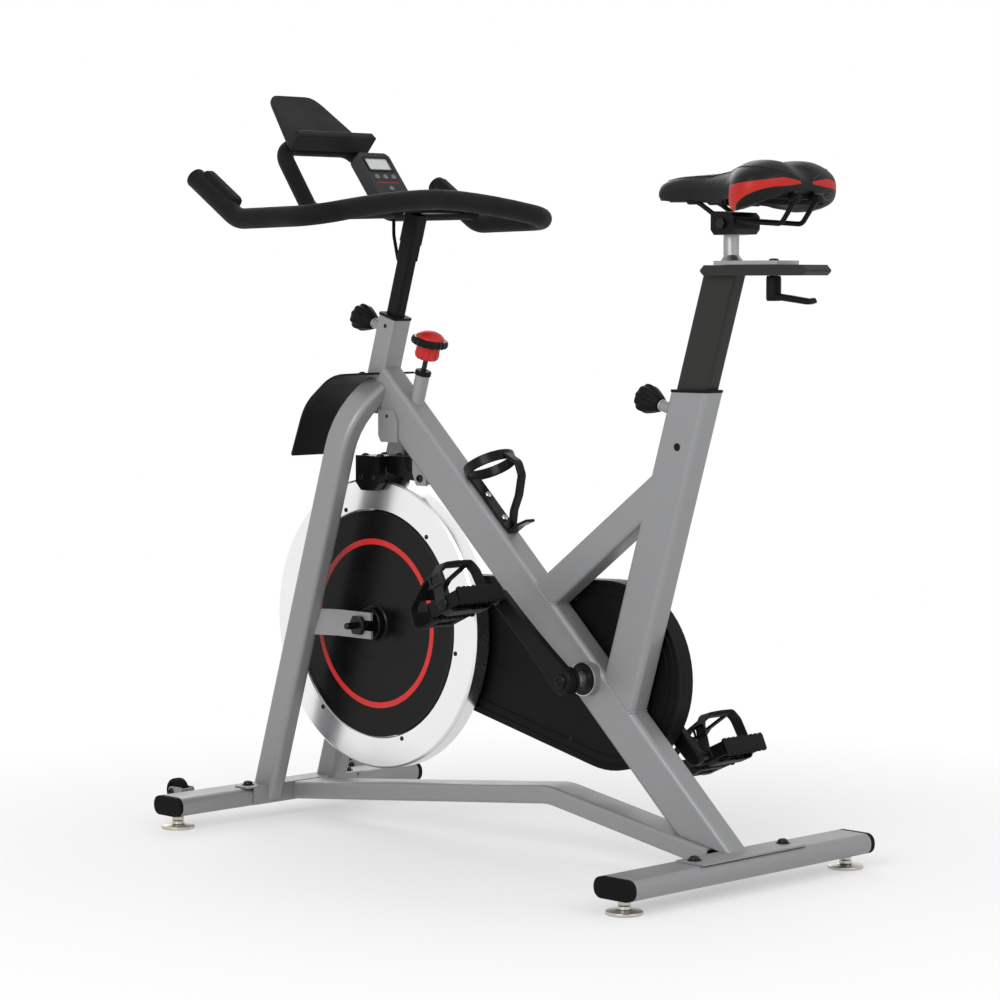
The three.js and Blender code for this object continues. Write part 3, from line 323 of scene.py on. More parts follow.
MATERIAL = {
    "silver": powder_coat("silver_powder_coat", (0.25, 0.252, 0.257), 0.3, 0.38, 0.52),
    "black_steel": powder_coat("black_powder_coat", (0.005, 0.005, 0.0052), 0.0, 0.34, 0.5, **DULL),
    "post_steel": powder_coat("post_black", (0.019, 0.018, 0.017), 0.0, 0.4, 0.52, **specular(0.2)),
    "plastic": moulded("black_plastic", (0.0048, 0.0048, 0.005), 0.42, 0.6, **DULL),
    "guard": moulded("guard_plastic", (0.004, 0.004, 0.0042), 0.38, 0.55, 1100, 0.0001, **DULL),
    "gloss": moulded("gloss_black", (0.0035, 0.0035, 0.0037), 0.2, 0.34, 2200, 0.00002, **specular(0.14)),
    "holder": moulded("holder_plastic", (0.012, 0.012, 0.0124), 0.45, 0.62, **DULL),
    "rubber": moulded("black_rubber", (0.005, 0.005, 0.005), 0.65, 0.85, 700, 0.0001, **DULL),
    "foam": foam_cover("grip_foam"),
    "rim": polished_rim("polished_rim"),
    "bearing": bare_steel("machined_steel", (0.6, 0.6, 0.6), 0.25, 0.45),
    "slider": bare_steel("slider_steel", (0.34, 0.34, 0.345), 0.32, 0.5),
    "zinc": bare_steel("zinc_plate", (0.55, 0.53, 0.47), 0.25, 0.42, 120),
    "dark_bolt": bare_steel("black_oxide", (0.03, 0.03, 0.032), 0.3, 0.5),
    "red": moulded("red_plastic", (0.48, 0.014, 0.01), 0.3, 0.45, 2200, 0.00003, **SATIN),
    "red_paint": powder_coat("red_paint", (0.56, 0.02, 0.02), 0.0, 0.28, 0.4, **SATIN),
    "thread": webbing("stitch_thread", (0.012, 0.012, 0.012)),
    "strap": webbing("strap_webbing", (0.008, 0.008, 0.008)),
    "console": moulded("console_plastic", (0.035, 0.036, 0.038), 0.4, 0.55, **DULL),
    "key": moulded("console_key", (0.14, 0.14, 0.145), 0.4, 0.55, 2200, 0.00003),
    "display": display_glass("display"),
    "floor": floor_paper("floor_paper"),
}


# ---------- mesh builders ----------
MERGE_DISTANCE = 0.001


def arc(centre, radius, start, end, steps):
    """Points round a centre in a plane, with angles in degrees."""
    angles = [radians(start + (end - start) * k / steps) for k in range(steps + 1)]
    return [(centre[0] + radius * cos(a), centre[1] + radius * sin(a)) for a in angles]


def circle(radius, segments):
    return arc((0, 0), radius, 0, 360, segments)[:-1]


def rounded_rect(width, depth, radius, steps=6):
    x, y = width / 2 - radius, depth / 2 - radius
    points = []
    for start, cx, cy in ((0, x, y), (90, -x, y), (180, -x, -y), (270, x, -y)):
        points += arc((cx, cy), radius, start, start + 90, steps)
    return points


def rounded(corners, radius, step=5):
    """Corner points with each inner corner rounded, in steps of about so many degrees."""
    points = [Vector(p) for p in corners]
    route = [points[0]]
    for before, corner, after in zip(points, points[1:], points[2:]):
        back = (before - corner).normalized()
        ahead = (after - corner).normalized()
        turn = pi - back.angle(ahead)
        if turn < 0.02:
            route.append(corner)
            continue
        centre = corner + (back + ahead).normalized() * (radius / cos(turn / 2))
        start = corner + back * (radius * tan(turn / 2)) - centre
        axis = ahead.cross(back).normalized()
        steps = max(2, round(degrees(turn) / step))
        for k in range(steps + 1):
            route.append(centre + Matrix.Rotation(turn * k / steps, 3, axis) @ start)
    route.append(points[-1])
    return route


def skin(mesh, rings, closed=False):
    """Joins rings of vertices with quads, and closes the two ends or joins them too."""
    count = len(rings[0])
    pairs = list(zip(rings, rings[1:]))
    if closed:
        pairs.append((rings[-1], rings[0]))
    for a, b in pairs:
        for k in range(count):
            n = (k + 1) % count
            mesh.faces.new((a[k], a[n], b[n], b[k]))
    if not closed:
        mesh.faces.new(rings[0][::-1])
        mesh.faces.new(rings[-1])
    bmesh.ops.remove_doubles(mesh, verts=mesh.verts, dist=MERGE_DISTANCE)
    bmesh.ops.recalc_face_normals(mesh, faces=mesh.faces)


def lathe(profile, segments, flutes=0, flute=0.0):
    """Turns a closed profile of (radius, height) about Z. Flutes ripple the wider part of it."""
    mesh = bmesh.new()
    widest = max(r for r, _ in profile)
    rings = []
    for k in range(segments):
        a = 2 * pi * k / segments
        ripple = flute * (0.5 + 0.5 * cos(flutes * a)) if flutes else 0
        ring = []
        for r, h in profile:
            reach = r - ripple * max(0, (r / widest - 0.6) / 0.4)
            ring.append(mesh.verts.new((reach * cos(a), reach * sin(a), h)))
        rings.append(ring)
    skin(mesh, rings, closed=True)
    return mesh


def prism(outline, low, high):
    """An outline drawn in x and z, with its thickness along Y from low to high."""
    mesh = bmesh.new()
    skin(mesh, [[mesh.verts.new((x, y, z)) for x, z in outline] for y in (low, high)])
    return mesh


def stack(outlines, closed=False):
    """Joins outlines drawn in x and y, each at its own height."""
    mesh = bmesh.new()
    skin(mesh, [[mesh.verts.new((x, y, z)) for x, y in outline] for outline, z in outlines], closed)
    return mesh


def sweep(route, outline, across=(0, 1, 0), closed=False, scale=None):
    """Carries an outline along a route: its x lies along the across direction where it can."""
    mesh = bmesh.new()
    route = [Vector(p) for p in route]
    last = len(route) - 1
    side = Vector(across)
    rings = []
    for i, point in enumerate(route):
        before = route[(i - 1) % len(route)] if closed else route[max(i - 1, 0)]
        after = route[(i + 1) % len(route)] if closed else route[min(i + 1, last)]
        heading = (after - before).normalized()
        side = (side - heading * side.dot(heading)).normalized()
        lift = heading.cross(side)
        size = scale(i / last) if scale else 1
        rings.append([mesh.verts.new(point + (side * x + lift * y) * size) for x, y in outline])
    skin(mesh, rings, closed)
    return mesh


def block(size, place=(0, 0, 0)):
    mesh = bmesh.new()
    bmesh.ops.create_cube(mesh, size=1)
    for v in mesh.verts:
        v.co = Vector(v.co[k] * size[k] + place[k] for k in range(3))
    return mesh


def joined(*meshes):
    """Several meshes as one, such as the facets of one moulding."""
    whole = bmesh.new()
    for part in meshes:
        data = bpy.data.meshes.new("part")
        part.to_mesh(data)
        part.free()
        whole.from_mesh(data)
        bpy.data.meshes.remove(data)
    return whole


def moved(mesh, place=(0, 0, 0), turn=Matrix.Identity(3)):
    mesh.transform(Matrix.Translation(Vector(place)) @ turn.to_4x4())
    return mesh


def along(direction):
    """A turn that takes +Z to a direction."""
    return Vector(direction).normalized().to_track_quat("Z", "Y").to_matrix()


# The turn that takes +Z to the left side and to the right side.
FACING = {1: along((0, 1, 0)), -1: along((0, -1, 0))}


def on_surface(obj, x, y):
    """The top of an object above a place in plan: the point and the surface's direction."""
    hit, where, normal, _ = obj.ray_cast(Vector((x, y, 1200)) * MM, Vector((0, 0, -1)))
    return (where / MM, normal) if hit else (None, None)


def modify(obj, kind, **settings):
    modifier = obj.modifiers.new(kind.lower(), kind)
    for key, value in settings.items():
        setattr(modifier, key, value)
    return modifier


def shade_smooth(obj):
    for face in obj.data.polygons:
        face.use_smooth = True


SHARP_EDGE = radians(32)


def soften(obj, width, segments=3):
    """Rounds the sharp edges and shades the rest smooth."""
    modify(obj, "WELD", merge_threshold=0.00002)
    if width:
        modify(obj, "BEVEL", width=width * MM, segments=segments, limit_method="ANGLE",
               angle_limit=SHARP_EDGE)
    modify(obj, "WEIGHTED_NORMAL", keep_sharp=True, weight=60)
    shade_smooth(obj)


def new_object(name, mesh, material):
    """An object in metres from a mesh in millimetres."""
    mesh.transform(Matrix.Scale(MM, 4))
    data = bpy.data.meshes.new(name)
    mesh.to_mesh(data)
    mesh.free()
    data.materials.append(MATERIAL[material])
    obj = bpy.data.objects.new(name, data)
    SCENE.collection.objects.link(obj)
    return obj


def piece(name, mesh, body, material, bevel=0.0, place=(0, 0, 0), turn=Matrix.Identity(3), stands_for=None,
          segments=3):
    """A finished piece from a mesh in millimetres, riding on a body."""
    obj = new_object(name, moved(mesh, place, turn), material)
    soften(obj, bevel, segments)
    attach(obj, body)
    if stands_for:
        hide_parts(stands_for)
    return obj


# ---------- small hardware ----------
def dome_bolt(name, place, body, head, height):
    """An upright dome nut on a washer."""
    washer = [(0, 0), (head * 1.35, 0), (head * 1.35, 1.4), (0, 1.4)]
    dome = [(0, 1.4), (head, 1.4), (head, height * 0.45)]
    dome += [(head * cos(a), height * (0.45 + 0.55 * sin(a))) for a in (0.4, 0.8, 1.2)]
    mesh = joined(lathe(washer, 32), lathe([*dome, (0, height)], 32))
    piece(name, mesh, body, "dark_bolt", 0.4, place, along((0, 0, 1)))


def socket_screw(name, place, direction, head, height, body="frame", material="dark_bolt"):
    """A button-head screw with a hexagon socket."""
    profile = [(0, 0), (head, 0), (head, height * 0.4), (head * 0.8, height * 0.85), (head * 0.5, height),
               (head * 0.5, height * 0.35), (0, height * 0.35)]
    piece(name, lathe(profile, 24), body, material, 0.15, place, along(direction))


def hex_nut(name, place, direction, body, radius, height, material="dark_bolt"):
    chamfered, full = circle(radius * 0.94, 6), circle(radius, 6)
    mesh = stack(((chamfered, 0), (full, height * 0.12), (full, height * 0.88), (chamfered, height)))
    piece(name, mesh, body, material, 0.3, place, along(direction))


# ---------- frame ----------
SILVER_NODES = ("main_beam", "base_rail", "head_tube", "seat_tube", "front_stabilizer", "rear_stabilizer",
                "fork_left", "fork_right")
STABILIZERS = {"front": 505.0, "rear": -444.5}


def paint_frame():
    for name in SILVER_NODES:
        dress(name, "silver", 0.8)
    dress("head_bushing", "plastic", 0.5)
    dress("seat_bushing", "plastic", 0.5)


def dress(node, material, bevel=0.6, segments=2):
    """Gives a CAD node its material, softened edges and smooth shading."""
    obj = NODES[node]
    obj.data.materials.clear()
    obj.data.materials.append(MATERIAL[material])
    soften(obj, bevel, segments)
    return obj


def stabilizer_details():
    for end in STABILIZERS:
        for side_name, _ in SIDES:
            dress(f"{end}_end_cap_{side_name}", "rubber", 3.2, 4)
            levelling_foot(end, side_name)
    plate_top = span("rear_stabilizer")[1].z + 2.9
    for side_name, side in SIDES:
        for end, x, reach in (("rear", STABILIZERS["rear"], 95), ("front", STABILIZERS["front"] - 14, 106)):
            place = (x, side * reach, plate_top)
            dome_bolt(f"{end}_bolt_{side_name}", place, "frame", 7.5, 7)


def thread(crest, root, start, pitch, turns):
    """The zigzag edge of a screw thread."""
    places = [start + pitch * k for k in range(turns)]
    return [point for at in places for point in ((crest, at), (root, at + pitch / 2))]


def levelling_foot(end, side_name):
    """A pressed disc with a threaded stem and a jam nut."""
    place = pivot(f"{end}_foot_{side_name}_turn")
    disc = [(0, 0), (24.6, 0), (26, 1), (26, 4.4), (25, 5.4), (13, 6.6), (9.4, 8), (9, 12), (0, 12)]
    stem = [(0, 12), *thread(5, 4.4, 12, 2.2, 10), (4.4, 34), (0, 34)]
    mesh = joined(lathe(disc, 48), lathe(stem, 24))
    node = f"{end}_foot_{side_name}"
    place.z = 0
    piece(f"{node}_disc", mesh, f"{end}_{side_name}_foot", "zinc", 0.4, place, stands_for=node)
    hex_nut(f"{node}_nut", (place.x, place.y, 13.2), (0, 0, 1), "frame", 9.2, 6, "zinc")


def transport_wheels():
    for side_name, side in SIDES:
        place = pivot(f"transport_wheel_{side_name}_spin")
        tyre = [(13, -8.6), (17, -8.8), (19.4, -7), (20, -4), (20, 4), (19.4, 7), (17, 8.8), (13, 8.6)]
        hub = [(3.4, -8), (7, -8.4), (8, -5), (13, -5), (13, 5), (8, 5), (7, 8.4), (3.4, 8)]
        body, node = f"wheel_{side_name}", f"transport_wheel_{side_name}"
        piece(f"{node}_tyre", lathe(tyre, 48), body, "rubber", 0.3, place, FACING[1], stands_for=node)
        piece(f"{node}_hub", lathe(hub, 48), body, "plastic", 0.3, place, FACING[1])
        for direction in (1, -1):
            outer = place + sideways(direction * 13.1)
            socket_screw(f"{node}_bolt_{direction + 1}", outer, (0, direction, 0), 5.5, 3.5)


def frame_details():
    rod = pivot("brake_rod_slide")
    cap = [(5, -21.8), (12.6, -21.8), (12.6, -15.6), (11.4, -14), (5, -14)]
    piece("guide_tube_cap", lathe(cap, 40), "frame", "plastic", 0.4, rod, along(UP))
    crank = pivot("crank_spin")
    for direction in (1, -1):
        cup = [(11, 0), (22, 0), (23.5, 0.8), (23.5, 2.2), (20, 2.6), (19, 1.2), (13, 1.2), (11, 2)]
        piece(f"bearing_cup_{direction + 1}", lathe(cup, 56), "frame", "dark_bolt", 0.2,
              crank + sideways(direction * 31), FACING[direction])
    ring = [(23.8, 0), (25.2, 0), (25.2, 1.8), (23.8, 1.8)]
    piece("shell_ring", lathe(ring, 56), "frame", "bearing", 0.2, crank + sideways(31), FACING[1])
    plug = [(0, 0), (5.6, 0), (5.6, 0.8), (3.8, 1.6), (0, 1.8)]
    piece("seat_tube_plug", lathe(plug, 28), "frame", "plastic", 0.1, (-342, 19.5, 620), FACING[1])
    socket_screw("head_tube_screw", (262, 18.5, 785), (0, 1, 0), 3.2, 1.4)
    socket_screw("brake_tab_screw", (254, 23, 646), (0, 1, 0), 2.6, 1.2)
    dress("bottom_bracket", "bearing", 0.3)
    dress("fender", "plastic", 1.2)
    fender_screws()


def fender_screws():
    for side_name, side in SIDES:
        for end, x in (("rear", 296), ("front", 385)):
            place, normal = on_surface(NODES["fender"], x, side * 36)
            socket_screw(f"fender_screw_{end}_{side_name}", place, normal, 4.5, 2.4)


BEAM = {"half": 20, "drop": 32.3, "corner": 9, "slope": 0.939, "rise": 430.1}


def beam_axes():
    """The main beam's directions: along it, and square to its top face."""
    tilt = atan(BEAM["slope"])
    return Vector((cos(tilt), 0, sin(tilt))), Vector((-sin(tilt), 0, cos(tilt)))


def weld_beads():
    """Fillet welds where the seat tube and the brace stand on the beam's rounded top."""
    _, lift = beam_axes()
    rise = Vector((0, 0, BEAM["rise"]))
    brace = Vector((-272, 0, 201.3)).normalized()
    tubes = (("seat_tube_weld", Vector((-361.5, 0, 697)), UP, 39, 68, 9),
             ("brace_weld", Vector((-50, 0, 371.4)), brace, 39, 46, 7))
    for name, base, heading, width, depth, corner in tubes:
        ahead = sideways(1).cross(heading)
        route = []
        for u, v in rounded_rect(depth, width, corner, 5):
            start = base + ahead * u + sideways(v)
            over = max(0, abs(v) - (BEAM["half"] - BEAM["corner"]))
            fall = BEAM["corner"] - sqrt(BEAM["corner"] ** 2 - over ** 2)
            gap = (BEAM["drop"] - fall) - (start - rise).dot(lift)
            route.append(start + heading * (gap / heading.dot(lift)))
        mesh = sweep(route, circle(1.7, 10), across=(0.3, 0.9, 0.31), closed=True)
        piece(name, mesh, "frame", "silver")


# ---------- flywheel, axle and brake ----------
def flywheel():
    place = pivot("flywheel_spin")
    rim = [(178.2, -13.5), (180, -15.8), (223.5, -16), (227, -12.8), (227, 12.8), (223.5, 16), (180, 15.8),
           (178.2, 13.5)]
    piece("rim_ring", lathe(rim, 160), "flywheel", "rim", 0.5, place, FACING[1], "flywheel_rim")
    face = [(8.6, 28), (24, 28), (26, 26), (26, 15), (29, 13), (168, 13), (172, 14.2), (177, 14.4)]
    back = [(r, -h) for r, h in reversed(face)]
    web = lathe(face + back, 160)
    piece("flywheel_web", web, "flywheel", "gloss", 0.6, place, FACING[1], "flywheel_disc")
    for direction in (1, -1):
        turn = FACING[direction]
        band = [(123.4, 12.9), (124, 13.5), (132.4, 13.5), (133, 12.9)]
        piece(f"red_ring_{direction + 1}", lathe(band, 160), "flywheel", "red_paint", 0, place, turn)
        for k, (x, z) in enumerate(arc((0, 0), 185.5, 10, 310, 5)):
            at = place + Vector((x, direction * 15.8, z))
            socket_screw(f"rim_screw_{direction + 1}_{k}", at, (0, direction, 0), 3.6, 1.6, "flywheel")
    dress("flywheel_pulley", "dark_bolt", 0.5)
    dress("flywheel_axle", "dark_bolt", 0.5)
    for name, direction, start in (("left", 1, 45.7), ("right", -1, 62.7)):
        at = place + sideways(direction * start)
        hex_nut(f"axle_nut_{name}", at, (0, direction, 0), "frame", 16.4, 8.4)
        end = 74.4 - start
        turns = int((end - 8.8) / 1.6)
        stud = [(4.4, 8.4), *thread(5.2, 4.6, 9, 1.6, turns), (4.4, end), (0, end), (0, 8.4)]
        piece(f"axle_thread_{name}", lathe(stud, 24), "frame", "dark_bolt", 0, at, FACING[direction])


def brake():
    dress("brake_arm", "gloss", 2.4, 4)
    dress("brake_rod", "dark_bolt", 0.3)
    pin = pivot("brake_swing")
    for direction in (1, -1):
        end = pin + sideways(direction * 14.8)
        socket_screw(f"brake_pivot_{direction + 1}", end, (0, direction, 0), 6, 4)
        for k, x in enumerate((275, 303)):
            at = (x, direction * 32, 551)
            socket_screw(f"magnet_screw_{direction + 1}_{k}", at, (0, direction, 0), 4.2, 2, "brake")
    top = span("brake_arm")[1].z
    for k, (x, y) in enumerate(((272, 20), (306, 20), (272, -20), (306, -20))):
        dome_bolt(f"caliper_bolt_{k}", (x, y, top), "brake", 4.6, 3.4)
    brake_spring()


SPRING = {"place": (211, 0, 562.2), "radius": 6, "height": 22, "turns": 6, "wire": 1.1}


def brake_spring():
    steps = SPRING["turns"] * 16
    around = arc((0, 0), SPRING["radius"], 0, 360 * SPRING["turns"], steps)
    route = [(x, y, SPRING["height"] * k / steps) for k, (x, y) in enumerate(around)]
    mesh = sweep(route, circle(SPRING["wire"], 8), across=(0, 0, 1))
    piece("brake_spring", mesh, "brake", "bearing", 0, SPRING["place"])


def resistance_knob():
    place = pivot("brake_knob_turn")
    place.z = span("brake_knob")[0].z + 4.7
    place.x = pivot("brake_rod_slide").x - (place.z - pivot("brake_rod_slide").z) * tan(LEAN)
    hub = [(4.4, 0), (15, 0), (18, 2.5), (19, 8), (18, 17), (21, 22), (4.4, 22)]
    ring = [(12, 22), (26, 22), (28.6, 24), (29, 27.5), (28.4, 31.4), (26, 33.5), (12, 33.5)]
    dome = [(0, 33.5), (22.5, 33.5), (21.5, 36), (17.5, 40), (11, 43), (5, 44.3), (0, 44.5)]
    turn = along(UP)
    piece("knob_hub", lathe(hub, 96, 12, 3.0), "knob", "red", 0.4, place, turn, "brake_knob")
    piece("knob_ring", lathe(ring, 120, 20, 1.6), "knob", "gloss", 0.4, place, turn)
    piece("knob_dome", lathe(dome, 72), "knob", "red", 0.4, place, turn)


def pop_pin(node, joint, body):
    """A spring pin with a fluted ball knob."""
    place = pivot(joint)
    shaft = [(0, -2.5), (3.9, -2.5), (3.9, 26), (0, 26)]
    collar = [(4, 22.6), (8.5, 22.6), (8.5, 25), (4, 25)]
    ball = [(4, 25), (8.6, 25), (11.5, 27), (15, 34), (18.4, 42), (21.2, 50), (21.5, 55.5), (20.4, 60.4),
            (17, 63.6), (11, 65.6), (5, 66.2), (0, 66.4)]
    turn = along(AHEAD)
    spindle = joined(lathe(shaft, 28), lathe(collar, 28))
    piece(f"{node}_shaft", spindle, body, "bearing", 0.2, place, turn, node)
    piece(f"{node}_knob", lathe(ball, 120, 10, 2.6), body, "plastic", 0.3, place, turn)


# ---------- drive ----------
CRANK_LENGTH = 170


def crank_turn(side_name):
    """The turn that points +X down the crank arm of a side."""
    arm = pivot(f"{side_name}_pedal_spin") - pivot("crank_spin")
    return Matrix.Rotation(-atan2(arm.z, arm.x), 3, "Y")


def crank_outline(length, root, eye):
    """The hull of two circles, waisted a little in between."""
    open_angle = degrees(acos((root - eye) / length))
    waist = [(length * t, root + (eye - root) * t - 2.2 * sin(pi * t)) for t in (0.25, 0.5, 0.75)]
    points = arc((0, 0), root, open_angle, 360 - open_angle, 28)
    points += [(x, -width) for x, width in waist]
    return points + arc((length, 0), eye, -open_angle, open_angle, 20) + waist[::-1]


def cranks():
    centre = pivot("crank_spin")
    for side_name, side in SIDES:
        low, high = sorted((side * 63, side * 79))
        arm = prism(crank_outline(CRANK_LENGTH, 20, 13), low, high)
        piece(f"crank_arm_{side_name}", arm, "crank", "black_steel", 3.6, centre, crank_turn(side_name),
              f"crank_{side_name}", 4)
        boss = [(9, 0), (20.5, 0), (20.5, 5.5), (9, 5.5)]
        piece(f"crank_boss_{side_name}", lathe(boss, 48), "crank", "black_steel", 0.8,
              centre + sideways(side * 57.8), FACING[side])
        cap = [(0, 0), (11, 0), (11, 1.6), (9.4, 2.8), (5, 3), (4, 1.2), (0, 1.2)]
        piece(f"crank_cap_{side_name}", lathe(cap, 40), "crank", "gloss", 0.2,
              centre + sideways(side * 79), FACING[side])
        eye = pivot(f"{side_name}_pedal_spin")
        axle = [(0, 0), (9.5, 0), (9.5, 4), (7, 5.5), (6, 9), (6, 100), (0, 100)]
        eye.y = side * 78.5
        piece(f"pedal_axle_{side_name}", lathe(axle, 32), "crank", "dark_bolt", 0.4, eye, FACING[side])
    dress("crank_spindle", "bearing", 0.5)
    dress("drive_pulley", "plastic", 0.5)
    dress("drive_belt", "rubber", 0)


PEDAL = {"half": 36, "reach": 44, "height": 27, "tilt": radians(25), "teeth": 9, "tooth": 3}


def toothed_plate(x, thickness):
    """One edge plate of a pedal, with grip teeth along its top and bottom."""
    reach, tooth = PEDAL["reach"], PEDAL["tooth"]
    root = PEDAL["height"] / 2 - tooth
    step = 2 * reach / PEDAL["teeth"]
    outline = []
    for sign in (-1, 1):
        for k in range(PEDAL["teeth"]):
            for share, rise in ((0, 0), (0.3, tooth), (0.7, tooth), (1, 0)):
                outline.append((sign * (reach - step * (k + share)), sign * (root + rise)))
    plate = prism(outline, x - thickness / 2, x + thickness / 2)
    return moved(plate, turn=Matrix.Rotation(radians(-90), 3, "Z"))


def pedal(side_name, side):
    place = pivot(f"{side_name}_pedal_spin")
    turn = Matrix.Rotation(PEDAL["tilt"], 3, "Y")
    half, reach = PEDAL["half"], PEDAL["reach"]
    parts = [toothed_plate(x, 5) for x in (2.5 - half, half - 2.5)]
    tube = [(6.5, -40), (10, -40), (11.5, -36), (9.5, -30), (9.5, 30), (11.5, 36), (10, 40), (6.5, 40)]
    barrel = moved(lathe(tube, 32), turn=FACING[1])
    for y in (3 - reach, reach - 3):
        parts.append(block((2 * half - 2, 6, 20), (0, y, 0)))
    for y in (-15, 15):
        parts.append(block((2 * half - 4, 4, 14), (0, y, 0)))
    body = f"{side_name}_pedal"
    cage = joined(*parts)
    piece(f"pedal_cage_{side_name}", cage, body, "plastic", 0.9, place, turn, f"pedal_{side_name}")
    piece(f"pedal_barrel_{side_name}", barrel, body, "plastic", 0.6, place, turn)
    cap = [(0, 0), (9, 0), (9, 2), (7, 3.4), (0, 3.6)]
    outer = place + sideways(side * reach)
    piece(f"pedal_cap_{side_name}", lathe(cap, 32), body, "gloss", 0.3, outer, FACING[side])
    toe_cage(side_name, place, turn)


def ribbon(route, width, thickness):
    return sweep(route, rounded_rect(width, thickness, thickness * 0.4, 3))


def narrow_ends(share):
    """A scale for sweep: full size, but for the two end rings."""
    return lambda t: share if t in (0, 1) else 1


def toe_cage(side_name, place, turn):
    """Two bent side rails joined at the toe and over the foot, and a strap round the pedal."""
    body = f"{side_name}_pedal"
    rails = []
    for y in (-25, 25):
        corners = [(35, y, -11.5), (88, y * 0.94, -11.5), (87, y * 0.84, 24), (41.5, y * 0.86, 48),
                   (-6, y * 0.94, 57)]
        rails.append(ribbon(rounded(corners, 15, 8), 13, 4))
    for x, z, depth in ((40, -11.5, 5), (66, -11.5, 5), (-2, 56.4, 7)):
        rails.append(block((depth * 2, 56, 4), (x, 0, z)))
    rails.append(block((3.6, 50, 22), (87.4, 0, 6)))
    rails.append(moved(block((22, 48, 3.6)), (64, 0, 36), Matrix.Rotation(radians(28), 3, "Y")))
    clip = joined(*rails)
    piece(f"toe_clip_{side_name}", clip, body, "plastic", 0.8, place, turn, f"toe_cage_{side_name}")
    half = [(2, 0, -15), (2, 40, -15), (2, 46.5, 4), (1, 40, 46), (-2, 27, 60.2)]
    around = rounded(mirrored(half, [(-2, 0, 61)]), 12, 12)
    strap = sweep(around, rounded_rect(20, 1.8, 0.7, 2), across=(1, 0, 0))
    piece(f"toe_strap_{side_name}", strap, body, "strap", 0, place, turn)
    bars = [block((24, 3, 4), (2, y, z)) for y, z in ((41, 45), (45, 30))]
    bars += [block((3, 3, 18), (x, 43.6, 37)) for x in (-9, 13)]
    piece(f"strap_buckle_{side_name}", joined(*bars), body, "dark_bolt", 0.5, place, turn)


def belt_guard():
    dress("belt_guard_inner", "guard", 2.0, 3)
    dress("belt_guard_outer", "guard", 4.0, 4)
    places = ((-260, 350), (-262, 208), (-104, 386), (-96, 176), (96, 390), (110, 228))
    for k, (x, z) in enumerate(places):
        socket_screw(f"guard_screw_{k}", (x, -52, z), (0, -1, 0), 4.4, 2.2)
        socket_screw(f"guard_back_screw_{k}", (x, -23, z), (0, 1, 0), 3.6, 1.6)
    for k, inset in enumerate((9, 22)):
        route = [(x, -22.6, z) for x, z in guard_outline(inset)]
        ridge = sweep(route, rounded_rect(2.4, 3.4, 1.1, 3), closed=True)
        piece(f"guard_ridge_{k}", ridge, "frame", "guard")


GUARD = {"crank_end": 140, "wheel_end": 78}


def guard_outline(inset):
    """The guard's edge, so far in: two circles and the lines that touch both."""
    crank, wheel = pivot("crank_spin"), pivot("flywheel_spin")
    big, small = GUARD["crank_end"], GUARD["wheel_end"]
    heading = degrees(atan2(wheel.z - crank.z, wheel.x - crank.x))
    opening = degrees(acos((big - small) / (wheel - crank).length))
    rear = arc((crank.x, crank.z), big - inset, heading + opening, heading - opening + 360, 60)
    return rear + arc((wheel.x, wheel.z), small - inset, heading - opening, heading + opening, 40)


# ---------- handlebar ----------
BAR = {"radius": 15.5, "tip": (430, 254, 1010), "bend": (333.5, 253, 947), "corner": (158, 250, 950),
       "crest": (159, 0, 977.5)}
LOOP = {"radius": 13, "side": 80, "base": 961, "knee": 364, "top": (437.6, 1063)}


def mirrored(half, middle=()):
    """A route from the left half of it, by way of the middle points, to its mirror image."""
    return [*half, *middle, *((x, -y, z) for x, y, z in reversed(half))]


def handlebar_route():
    crest_x, _, crest_z = BAR["crest"]
    _, corner_y, corner_z = BAR["corner"]
    half = [BAR["tip"], BAR["bend"], BAR["corner"]]
    for share in (0.8, 0.62, 0.45, 0.3, 0.15):
        half.append((crest_x, corner_y * share, corner_z + (crest_z - corner_z) * (1 - share ** 1.6)))
    return rounded(mirrored(half, [BAR["crest"]]), 48, 4)


def handlebar():
    piece("bar_sleeve", sweep(handlebar_route(), circle(BAR["radius"], 36)), "handlebar", "foam", 1.2,
          stands_for="handlebar_bar")
    tip, bend = Vector(BAR["tip"]), Vector(BAR["bend"])
    for side_name, side in SIDES:
        flip = Vector((1, side, 1))
        end, heading = tip * flip, (tip - bend).normalized() * flip
        plug = [(0, -2), (15.2, -2), (15.8, 0), (15.2, 2.2), (12, 3.6), (6, 4.2), (0, 4.3)]
        piece(f"bar_plug_{side_name}", lathe(plug, 40), "handlebar", "plastic", 0.2, end, along(heading))
        route = [end - heading * reach for reach in (10, 15, 86, 92)]
        pad = sweep(route, rounded_rect(22, 20, 7, 5), scale=narrow_ends(0.86))
        piece(f"horn_pad_{side_name}", moved(pad, (-6, -side * 9, 10)), "handlebar", "foam", 2)


def media_loop():
    corners = ((BAR["crest"][0] + 8, LOOP["base"]), (LOOP["knee"], LOOP["base"]), LOOP["top"])
    half = [(x, LOOP["side"], z) for x, z in corners]
    sleeve = sweep(rounded(mirrored(half), 32, 5), circle(LOOP["radius"], 32))
    piece("loop_sleeve", sleeve, "handlebar", "foam", 0.4, stands_for="media_loop")


CONSOLE_UP = Vector((0.625, 0, 0.781)).normalized()
CONSOLE_OUT = Vector((-0.781, 0, 0.625)).normalized()
CONSOLE_TURN = Matrix((sideways(-1), CONSOLE_UP, CONSOLE_OUT)).transposed()
CONSOLE_MIDDLE = Vector((255.2, 0, 982.3)) + CONSOLE_UP * 45
DISPLAY_HEIGHT = 22


def on_console(name, mesh, material, y, lift=0.0, bevel=0.3):
    """A small part lying on the console's face, y up from its middle."""
    place = CONSOLE_MIDDLE + CONSOLE_TURN @ Vector((0, y, lift))
    piece(name, mesh, "handlebar", material, bevel, place, CONSOLE_TURN)


